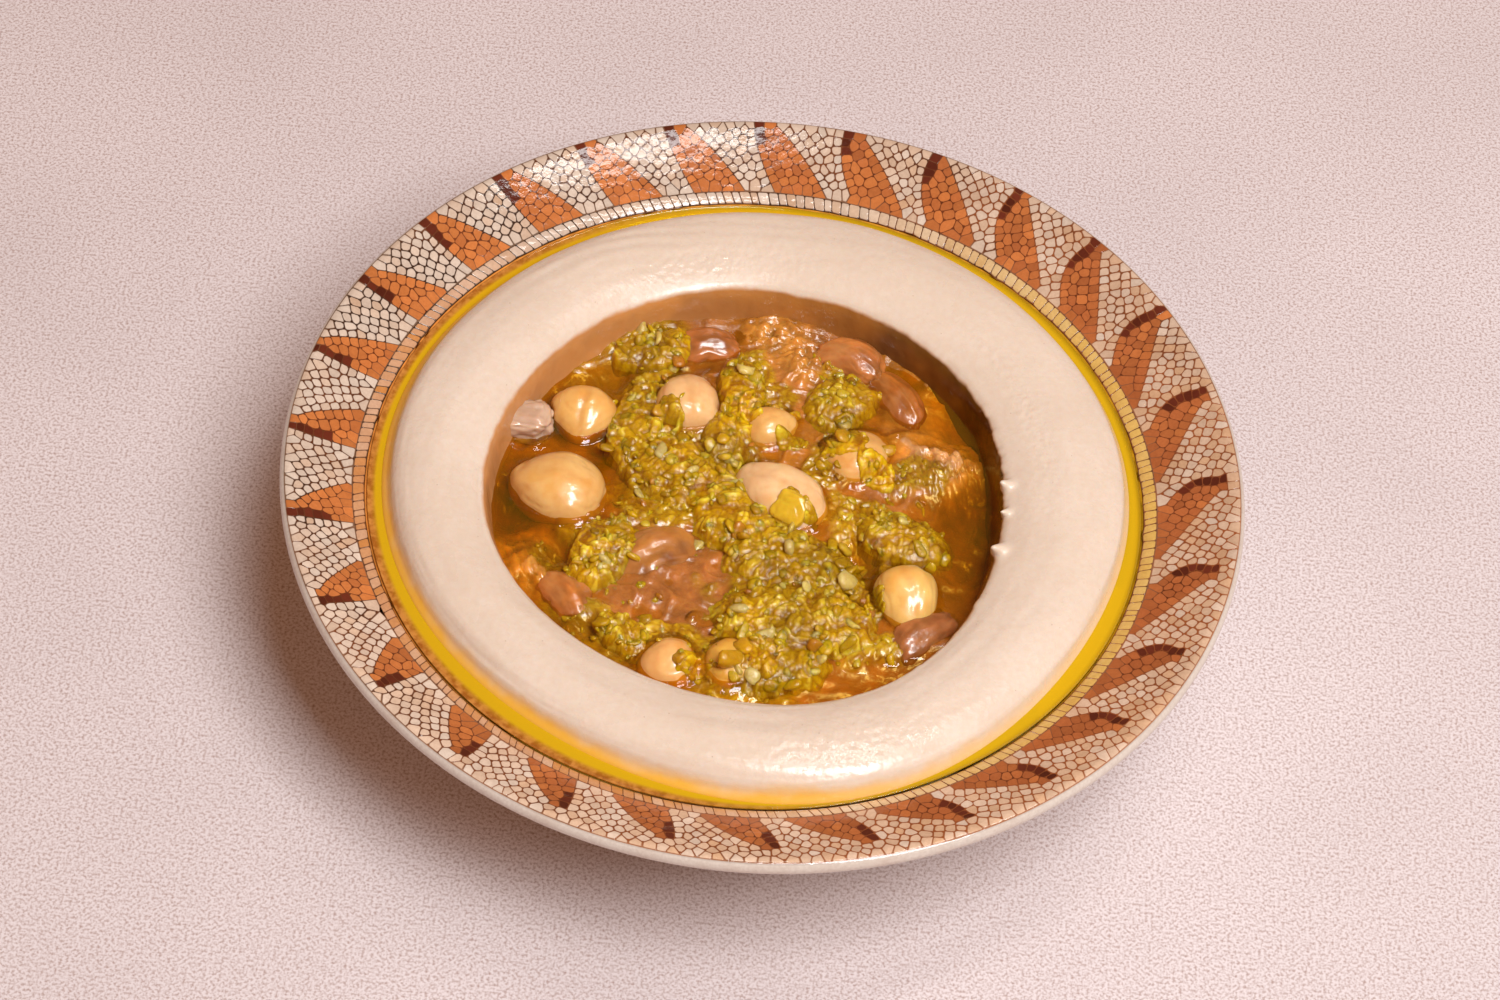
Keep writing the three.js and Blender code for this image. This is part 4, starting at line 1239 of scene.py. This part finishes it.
def make_chickpeas():
    sphere, faces = ball(5)
    material = skin_material("chickpea_skin", srgb(232, 180, 96), 0.34, 0.5)
    for i, (x, y, z, length, width, height, turn, tilt, cleft, corners, tint) in enumerate(CHICKPEAS):
        seed = 100 + 7 * i
        unit = np.sign(sphere) * np.abs(sphere) ** (1 - 0.20 * corners)
        px, py, pz = unit.T
        beak = 0.22 * np.exp((px - 1) / 0.22)
        bent = py - 0.12 * px + 0.10 * np.sin(3 * px + seed)
        groove = cleft * np.exp(-((bent / 0.12) ** 2)) * np.clip(pz + 0.25, 0, 1) * smooth_step(-0.9, 0.1, px)
        waist = 1 - 0.1 * np.clip(px, 0, 1)
        points = np.column_stack([
            (0.9 * px + beak - 0.05) * length / 2,
            py * width / 2 * waist,
            pz * height / 2 * waist * (1 - 0.07 * groove),
        ])
        lump = fractal(unit * 6 + seed, 4.5, 2, seed)
        crease = np.abs(noise(unit * [3, 9, 9] + seed, 3.2, seed + 3))
        points *= (0.985 + 0.050 * lump - 0.022 * np.exp(-(crease / 0.12) ** 2) - 0.03 * corners)[:, None]
        points = turned(points, turn, tilt) + [x, y, z]
        at_level = points[np.abs(points[:, 2] - WELL_OIL_LEVEL) < 0.7]
        away = at_level - [x, y, 0]
        around = np.arctan2(away[:, 1], away[:, 0])
        order = np.argsort(around)
        waterlines.append((x, y, around[order], np.hypot(away[:, 0], away[:, 1])[order]))
        chickpea_faces.extend(tuple(k + len(chickpea_points) for k in face) for face in faces)
        chickpea_points.extend(Vector(point) for point in points)
        colour = np.tile(srgb(*tint), (len(points), 1))
        # Painted light: each chickpea's top is made lighter
        pale = smooth_step(0.3, 1.0, pz) * 0.25
        colour = colour * (1 + 0.5 * pale)[:, None]
        # Painted shade: the cleft is darkened
        colour *= (1 - np.outer(0.28 * groove, [0.5, 0.8, 1.0]))
        stained = smooth_step(1.6, -0.6, points[:, 2] - WELL_OIL_LEVEL)[:, None]
        blotch = smooth_step(0.1, 0.9, fractal(points, 3.2, 2, seed + 11))[:, None]
        colour = lerp(colour, colour * [0.96, 0.82, 0.55], blotch * 0.7)
        colour = lerp(colour, colour * [0.82, 0.58, 0.28], stained * 0.9)
        node = f"chickpea_{i + 1}"
        mesh_piece(f"{node}_whole", points, faces, material, [node], colour)


FAVA_BEANS = [  # x, y, z, length, width, thickness, turn, bend, tint
    (13.4, 32.4, 27.6, 13.4, 8.8, 6.4, -24, 0.30, (198, 124, 62)),
    (-16.7, -13.6, 26.2, 16.0, 12.0, 7.6, 38, 0.18, (180, 118, 54)),
    (21.4, 25.6, 26.0, 15.0, 8.0, 6.6, -52, 0.22, (178, 106, 40)),
    (28.2, -24.9, 26.2, 14.4, 9.0, 7.0, 48, 0.20, (172, 108, 60)),
    (-30.6, -23.4, 26.0, 12.6, 8.8, 6.8, -50, 0.18, (194, 122, 56)),
    (-11.8, 33.2, 26.4, 12.4, 8.8, 6.8, 12, 0.22, (178, 108, 52)),
]


def make_fava_beans():
    unit, faces = ball(5)
    material = skin_material("fava_skin", srgb(186, 124, 78), 0.32, 1.0)
    for i, (x, y, z, length, width, thick, turn, bend, tint) in enumerate(FAVA_BEANS):
        seed = 300 + 11 * i
        px, py, pz = unit.T
        side = py + bend * (0.5 - px * px) + 0.12 * np.exp(-((px / 0.3) ** 2)) * np.clip(-py, 0, 1)
        points = np.column_stack([px * length / 2, side * width / 2, pz * thick / 2])
        wrinkle = fractal(unit * [5, 9, 8] + seed, 4.0, 4, seed)
        fold = np.exp(-((noise(unit * [2.5, 7, 6] + seed, 2.6, seed + 5) / 0.12) ** 2))
        crumple = 1 - 2 * np.abs(noise(unit * [2.2, 6, 4] + seed, 2.2, seed + 7))
        points *= (0.97 + 0.065 * wrinkle - 0.03 * fold + 0.05 * crumple)[:, None]
        points = turned(points, turn) + [x, y, z]
        blotch = fractal(points, 3.0, 3, seed + 9)
        # Painted light and shade: raised wrinkles are lighter, sunken folds darker
        colour = srgb(*tint) * (1.1 + 0.30 * wrinkle - 0.08 * fold)[:, None]
        colour = lerp(colour, srgb(206, 146, 86), 0.5 * smooth_step(0.1, 0.8, blotch)[:, None])
        colour = lerp(colour, srgb(134, 80, 34), 0.7 * smooth_step(0.0, 0.9, -blotch)[:, None])
        stained = smooth_step(1.4, -0.6, points[:, 2] - WELL_OIL_LEVEL)[:, None]
        colour = lerp(colour, colour * [0.78, 0.55, 0.30], stained * 0.9)
        node = f"fava_bean_{i + 1}"
        mesh_piece(f"{node}_whole", points, faces, material, [node], colour)


# Relish

RELISH_RISE = 2.0
RELISH_LIFT = 0.8
RELISH_HEAPS = {
    "relish_middle": [
        (-22.4, 14, 9.4, 4.6, 80), (-13.2, 3.4, 10.4, 7.6, -20), (-6.6, 12, 8.4, 4.4, 80),
        (-5.2, 23.4, 6.4, 4.4, 100), (-4.6, -5, 8, 6.6, -45), (5.6, -13.6, 12.4, 7, -15),
        (7, -25.6, 13.2, 8, 8), (5.6, -34.8, 8.4, 5, 20),
    ],
    "relish_far_left": [(-21, 30.8, 7.6, 5.2, 25)],
    "relish_far_right": [(12.2, 21.8, 7, 5.6, 45)],
    "relish_left": [(-25.6, -14.6, 7.6, 5.6, 75)],
    "relish_right": [(23.6, -6.2, 8.4, 5.2, -15)],
    "relish_near_left": [(-20.8, -30.6, 5.6, 3.6, -35)],
}
RELISH_TINTS = [  # share, colour of the chopped bits
    (0.34, srgb(198, 156, 10)), (0.28, srgb(212, 172, 20)), (0.10, srgb(176, 134, 6)),
    (0.14, srgb(224, 192, 56)),
    (0.03, srgb(140, 104, 10)), (0.06, srgb(224, 200, 110)), (0.05, srgb(190, 112, 36)),
]
BIT_SIZE = (2.6, 1.9, 1.1)
HEAP_BITS = 0.13  # chopped bits to a square millimetre
SCATTER_BITS = 0.16
PULP_STEP = 0.24


def bit_templates(random, count=8):
    """A few chopped shapes: flats, cubes and curls."""
    unit, faces = ball(2)
    shapes = []
    for k in range(count):
        offset = random.uniform(-50, 50, 3)
        power = random.uniform(0.55, 0.9)
        points = np.sign(unit) * np.abs(unit) ** power
        lump = 0.34 * noise(unit + offset, 0.9, k) + 0.20 * noise(unit + offset, 0.5, k + 40)
        points = points * (1 + lump)[:, None]
        points[:, 2] += random.uniform(-0.5, 0.5) * points[:, 0] ** 2
        shapes.append(points / 2)
    return shapes, faces


def random_turns(random, count):
    """Turning matrices, mostly lying flat."""
    spin = random.uniform(0, TURN, count)
    lean_x = random.normal(0, 0.55, count)
    lean_y = random.normal(0, 0.55, count)
    cx, cy, cz = (np.cos(turn) for turn in (lean_x, lean_y, spin))
    sx, sy, sz = (np.sin(turn) for turn in (lean_x, lean_y, spin))
    one, nil = np.ones(count), np.zeros(count)
    about_z = np.array([[cz, -sz, nil], [sz, cz, nil], [nil, nil, one]]).transpose(2, 0, 1)
    about_x = np.array([[one, nil, nil], [nil, cx, -sx], [nil, sx, cx]]).transpose(2, 0, 1)
    about_y = np.array([[cy, nil, sy], [nil, one, nil], [-sy, nil, cy]]).transpose(2, 0, 1)
    return about_x @ about_y @ about_z


def chopped(random, places, scale, shapes, template_faces, tints):
    """Bits at the given places, with a tint each."""
    count = len(places)
    size = np.array(BIT_SIZE) * scale[:, None] * random.uniform(0.75, 1.3, (count, 3))
    turns = random_turns(random, count)
    picks = random.integers(0, len(shapes), count)
    base = np.array(shapes)[picks] * size[:, None, :]
    points = np.einsum("nij,nkj->nki", turns, base) + places[:, None, :]
    each = points.shape[1]
    faces = np.array(template_faces)[None] + (np.arange(count) * each)[:, None, None]
    colours = np.repeat(tints, each, axis=0)
    return points.reshape(-1, 3), [tuple(f) for f in faces.reshape(-1, 3).tolist()], colours


def pick_tints(random, count):
    shares = np.array([share for share, _ in RELISH_TINTS])
    picks = random.choice(len(RELISH_TINTS), count, p=shares / shares.sum())
    return np.array([RELISH_TINTS[i][1] for i in picks]) * random.uniform(0.75, 1.25, (count, 1))


def inside_well(places, margin=1.0):
    angle = np.arctan2(places[..., 1], places[..., 0])
    return np.hypot(places[..., 0], places[..., 1]) < well_radius(angle, -margin)


def relish_material():
    n = Nodes("relish")
    fine = n.noise(0.7, 4, 0.6)
    colour = n.mix(n.spread(fine, 0.35, 0.7, 0.0, 0.35), n.tint(), srgb(214, 176, 70), "MULTIPLY")
    shader = n.principled(
        Base_Color=colour,
        Roughness=n.spread(fine, 0.3, 0.7, 0.10, 0.24),
        Subsurface_Weight=0.6,
        Subsurface_Radius=(1.0, 0.75, 0.10),
        Subsurface_Scale=0.0024,
        Coat_Weight=0.35,
        Coat_Roughness=0.04,
        Normal=n.bump(fine, 0.36, 0.7),
    )
    return n.finish(shader)


def heap_top(x, y, mounds):
    """Top of a heap of relish, with the pulp's own relief."""
    dome = np.full(np.shape(x), -9.0)
    for cx, cy, a, b, turn in mounds:
        share = np.minimum(ring_share(x - cx, y - cy, a, b, turn), 1)
        dome = np.maximum(dome, mash_top(cx, cy) + RELISH_LIFT + RELISH_RISE * np.sqrt(1 - share ** 2))
    return dome + 0.90 * pulp(in_plan(x, y))[0]


def resting_height(x, y):
    """Top of whatever lies highest at plan points: mash, heaps or chickpeas."""
    top = mash_surface(x, y)
    for mounds in RELISH_HEAPS.values():
        covered = nearest_share(x, y, mounds) < 0.95
        top = np.where(covered, np.maximum(top, heap_top(x, y, mounds)), top)
    tree = BVHTree.FromPolygons(chickpea_points, chickpea_faces)
    for i in np.ndindex(top.shape):
        hit = tree.ray_cast(Vector((x[i], y[i], 60)), Vector((0, 0, -1)))[0]
        if hit is not None:
            top[i] = max(top[i], hit.z)
    return top


def pulp_sheet(ellipses, under, top, ragged=0.13):
    """Wet pulp over some ellipses, closed all round: a fine grid from the surface under it up to its top."""
    reach = np.array([(cx, cy, max(a, b) * 1.25) for cx, cy, a, b, _ in ellipses])
    starts, ends = (reach[:, :2] - reach[:, 2:]).min(0), (reach[:, :2] + reach[:, 2:]).max(0)
    x, y = np.meshgrid(*(np.arange(start, end, PULP_STEP) for start, end in zip(starts, ends)))
    place = in_plan(x, y)
    out = nearest_share(x, y, ellipses) + ragged * fractal(place, 3.2, 3, 85)
    cover = smooth_step(1.12, 0.86, out) * inside_well(place, 0.4)
    used = cover > 0.02
    cells = used[:-1, :-1] & used[1:, :-1] & used[:-1, 1:] & used[1:, 1:]
    rows, columns = np.nonzero(cells)
    around = ((0, 0), (0, 1), (1, 1), (1, 0))
    kept = np.zeros(used.shape, bool)
    for row, column in around:
        kept[rows + row, columns + column] = True
    count = int(kept.sum())
    corner = np.zeros(used.shape, int)
    corner[kept] = np.arange(count)
    x, y = x[kept], y[kept]
    low = under(x, y) - 0.30
    z = lerp(low, np.maximum(top(x, y), low + 0.1), cover[kept])
    points = np.vstack([np.column_stack([x, y, z]), np.column_stack([x, y, low - 0.15])])
    faces = []
    beside = ((-1, 0), (0, 1), (1, 0), (0, -1))
    walled = np.pad(cells, 1)
    for r, c in zip(rows.tolist(), columns.tolist()):
        a = [int(corner[r + row, c + column]) for row, column in around]
        faces.append(tuple(a))
        faces.append(tuple(k + count for k in a[::-1]))
        for side, (row, column) in enumerate(beside):
            if not walled[r + 1 + row, c + 1 + column]:
                start, end = a[side], a[(side + 1) % 4]
                faces.append((start, start + count, end + count, end))
    return points, faces, np.tile(pulp(place[kept])[1], (2, 1))


def bits_on(random, ellipses, density, top):
    """Places for chopped bits, sunk a little into the pulp over some ellipses."""
    places = []
    for cx, cy, a, b, turn in ellipses:
        count = int(math.pi * a * b * density)
        u = np.sqrt(random.uniform(0, 1.1, count))
        around = random.uniform(0, TURN, count)
        flat = in_plan(a * u * np.cos(around), b * u * np.sin(around))
        places.append(turned(flat, turn) + [cx, cy, 0])
    places = np.vstack(places)
    places = places[inside_well(places)]
    places[:, 2] = top(places[:, 0], places[:, 1]) + random.normal(-0.22, 0.14, len(places))
    return places


COVER = [  # x, y, half length, half width, turn: pulp that lies over the chickpeas
    (-17.4, 14.6, 3.8, 2.8, 60), (12.6, 12.4, 3.6, 2.8, 0), (19.4, 6.8, 3.6, 2.4, -40),
    (3.8, 12.6, 2.8, 1.8, 0), (-3.6, 17.8, 2.2, 2.6, 0), (2.4, -34.4, 3.8, 3.6, 0),
    (7.0, -3.4, 3.6, 1.6, -40), (-8.8, -37.2, 3.4, 2.2, 0), (19.6, -20.6, 1.8, 3.0, 0),
]
SCATTER = [  # x, y, half length, half width, turn: thin relish between the heaps
    (-21, 23, 5, 3.5, 70), (-24, 33, 6, 4, 20), (-17, 10, 5, 3, 60), (-18, -4, 6, 5, 0),
    (-25, -31, 9, 3.5, -40),
    (-12, -30, 8, 3, -20), (17, -2, 6, 3, -20), (24, 7, 6, 3.5, 30), (14, -20, 5, 5, 0), (10, 9, 3, 5, 0),
    (0, 22, 5, 3, 0), (-26, -9.6, 3, 2.4, 0), (20, -30, 6, 3, 30), (0, -39, 9, 2.5, 0), (14, 30, 5, 3, 20),
    (-33, -17, 5, 3, -50), (-14, -12, 7, 5, 40), (-20, -22, 6, 3, -30), (22, 1, 6, 4, 0), (8, 28, 3, 4, 0),
]


def cover_top(x, y):
    return resting_height(x, y) + 0.50 + 0.70 * pulp(in_plan(x, y))[0]


def relish_piece(name, parts, material, replaces=()):
    """One piece from several sets of points, faces and colours."""
    points, faces, colours = [], [], []
    start = 0
    for part_points, part_faces, part_colours in parts:
        points.append(part_points)
        colours.append(part_colours)
        faces += [tuple(i + start for i in face) for face in part_faces]
        start += len(part_points)
    mesh_piece(name, np.vstack(points), faces, material, replaces, np.vstack(colours))


def make_relish():
    random = np.random.default_rng(23)
    shapes, template_faces = bit_templates(random)
    material = relish_material()

    def bits(places, low, high):
        scale = lerp(low, high, random.uniform(0, 1, len(places)) ** 1.5)
        _, local = pulp(places)
        tints = lerp(local, pick_tints(random, len(places)), 0.6)
        return chopped(random, places, scale, shapes, template_faces, tints)

    for name, mounds in RELISH_HEAPS.items():
        def top(x, y):
            return heap_top(x, y, mounds)

        places = bits_on(random, mounds, HEAP_BITS, top)
        parts = [pulp_sheet(mounds, mash_surface, top), bits(places, 0.45, 1.15)]
        relish_piece(f"{name}_chopped", parts, material, [name])
    thin = bits_on(random, SCATTER, SCATTER_BITS, resting_height)
    over = bits_on(random, COVER, HEAP_BITS, cover_top)
    points, faces, colours = pulp_sheet(COVER, resting_height, cover_top, 0.34)
    sheet = points, faces, colours * 1.25
    relish_piece("relish_scatter", [sheet, bits(thin, 0.35, 0.85), bits(over, 0.35, 0.8)], material)
    make_pale_bits(random, shapes, template_faces, material)


PALE_BITS = [  # x, y, length: garlic and pale pepper standing out of the relish
    (15, -17.5, 3.6), (17.2, -11.6, 2.8), (5.2, -12.2, 3.4), (-2.2, -25.4, 3.0), (1.0, -38.2, 3.0),
    (-20.6, -0.6, 3.6), (-10.4, -11.2, 2.6), (2.6, -30.4, 2.4), (-23.6, 34.6, 3.4), (-20.4, 32.0, 2.6),
    (-4.6, 25.6, 3.0), (21.4, 23.0, 2.4), (-17.6, 6.6, 2.2), (11.8, -33.8, 2.6), (-25.0, -17.6, 2.6),
    (8.6, -20.2, 2.2), (24.0, -3.4, 2.4), (-12.0, 2.6, 2.4),
]
YELLOW_BITS = [  # x, y, length: yellow pepper on and by the chickpeas
    (13.2, 12.4, 3.6), (-11.0, -36.6, 2.8), (-2.4, -36.0, 4.8), (-0.8, -33.2, 3.8),
    (-18.4, 15.4, 3.0), (-17.4, 12.6, 3.0), (4.4, 18.4, 2.6), (20.6, 12.0, 3.2),
]


def make_pale_bits(random, shapes, template_faces, material):
    spots = np.array([(x, y, 0.0) for x, y, _ in PALE_BITS + YELLOW_BITS])
    spots[:, 2] = resting_height(spots[:, 0], spots[:, 1]) + 0.15
    size = np.array([length for *_, length in PALE_BITS + YELLOW_BITS]) / BIT_SIZE[0]
    tints = np.array([srgb(214, 190, 110)] * len(PALE_BITS) + [srgb(216, 162, 26)] * len(YELLOW_BITS))
    tints *= random.uniform(0.8, 1.1, (len(spots), 1))
    points, faces, colours = chopped(random, spots, size, shapes, template_faces, tints)
    mesh_piece("garlic_and_pepper_bits", points, faces, material, [], colours)


def make_chunk():
    unit, faces = ball(5)
    points = np.sign(unit) * np.abs(unit) ** 0.75
    points = points * [9.0, 8.2, 6.4] / 2 * 0.94
    lump = fractal(unit * 5 + 7, 3.4, 3, 401)
    ledge = np.abs(noise(unit * [2, 6, 6] + 3, 2.2, 409))
    points *= (1 + 0.15 * lump - 0.09 * np.exp(-(ledge / 0.14) ** 2))[:, None]
    points = points + [-40.9, 12.4, 28.2]
    # Painted light and shade: raised lumps are lighter, hollows darker
    colour = srgb(212, 178, 150) * (1 + 0.2 * lump)[:, None]
    material = skin_material("pale_chunk", srgb(200, 160, 130), 0.4, 0.8)
    mesh_piece("hummus_chunk_pale", points, faces, material, ["hummus_chunk"], colour)


def make_pepper():
    unit, faces = ball(5)
    points = np.sign(unit) * np.abs(unit) ** 0.82 * [6.4, 5.6, 3.0] / 2 * 0.98
    lump = fractal(unit * 4 + 11, 2.6, 3, 421)
    points *= (1 + 0.18 * lump)[:, None]
    points = turned(points, 70, 38) + [4.6, -4.2, 30.7]
    # Painted light and shade: raised lumps are lighter, hollows darker
    colour = srgb(222, 180, 44) * (1 + 0.12 * lump)[:, None]
    material = skin_material("pepper_flesh", srgb(214, 170, 60), 0.16, 0.6)
    mesh_piece("pepper_piece_wet", points, faces, material, ["pepper_piece"], colour)


OIL_SWELLS = [  # x, y, half length, half width, turn: where the oil stands up and catches the light
    (-21.4, 6.8, 3.0, 1.1, 12), (-38.6, 7.8, 2.4, 1.0, 32), (-9.6, -26.0, 1.5, 1.1, 50),
    (15.6, -10.6, 1.2, 0.9, 20), (-24.6, -8.4, 1.4, 0.9, -20), (36.0, 18.0, 3.0, 1.0, 120),
    (22.4, 16.6, 1.6, 0.9, 30),
]


def make_well_oil():
    """Oil standing between the lumps, drawn up a little where it meets the chickpeas and the wall."""
    step = 0.66
    line = np.arange(-46, 46, step)
    gx, gy = np.meshgrid(line, line)
    gx = gx + step / 2 * (np.arange(len(line)) % 2)[:, None]
    spots = [np.column_stack([gx.ravel(), gy.ravel()])]
    around = np.arange(160) * TURN / 160
    for cx, cy, turns, radii in waterlines:
        for away in (-0.25, 0.0, 0.12, 0.26, 0.44, 0.7, 1.1):
            r = np.interp(around, turns, radii, period=TURN) + away
            spots.append(np.column_stack([cx + r * np.cos(around), cy + r * np.sin(around)]))
    spots = np.vstack(spots)
    spots = spots[np.hypot(*spots.T) < well_radius(np.arctan2(spots[:, 1], spots[:, 0]), -1.2)]
    around = np.arange(520) * TURN / 520
    for inset in (0.0, 0.2, 0.5, 0.9):
        r = well_radius(around, 0.1 - inset)
        spots = np.vstack([spots, np.column_stack([r * np.cos(around), r * np.sin(around)])])
    made = delaunay_2d_cdt([Vector(p) for p in spots], [], [], 0, 1e-5)
    flat = np.array([tuple(p) for p in made[0]])
    x, y = flat.T
    wall = well_radius(np.arctan2(y, x), 0.1) - np.hypot(x, y)
    z = WELL_OIL_LEVEL + 0.45 * np.exp(-np.clip(wall, 0, None) / 0.5)
    for cx, cy, turns, radii in waterlines:
        dx, dy = x - cx, y - cy
        away = np.hypot(dx, dy) - np.interp(np.arctan2(dy, dx), turns, radii, period=TURN)
        z += 1.15 * np.exp(-np.clip(away, 0, None) / 0.9)
    place = np.column_stack([x, y, 0 * x])
    z += 0.07 * noise(place, 5, 91) + 0.03 * noise(place, 2.2, 93)
    for cx, cy, half_length, half_width, turn in OIL_SWELLS:
        z += 0.95 * np.exp(-(ring_share(x - cx, y - cy, half_length, half_width, turn) ** 2))
    bed = mash_surface(x, y)
    z += 0.55 * np.exp(-np.clip(WELL_OIL_LEVEL - bed, 0, None) / 0.35) * smooth_step(0.2, 1.2, wall)
    depth = np.clip(z - bed, 0, 4)
    body = 0.02 + 0.02 * np.minimum(depth, 2.0)
    tint = WELL_OIL_CLEAR ** (0.25 + 0.8 * depth[:, None])
    points, faces = np.column_stack([flat, z]), [tuple(face) for face in made[2]]
    pools = ["oil_pool_1", "oil_pool_2"]
    mesh_piece("well_oil_clear", points, faces, oil_material(), pools, tint, {"body": body})


make_camera()
make_studio()
make_floor()
make_bowl()
make_hummus()
make_oil_ring()
make_mash()
make_chickpeas()
make_fava_beans()
make_relish()
make_chunk()
make_pepper()
make_well_oil()
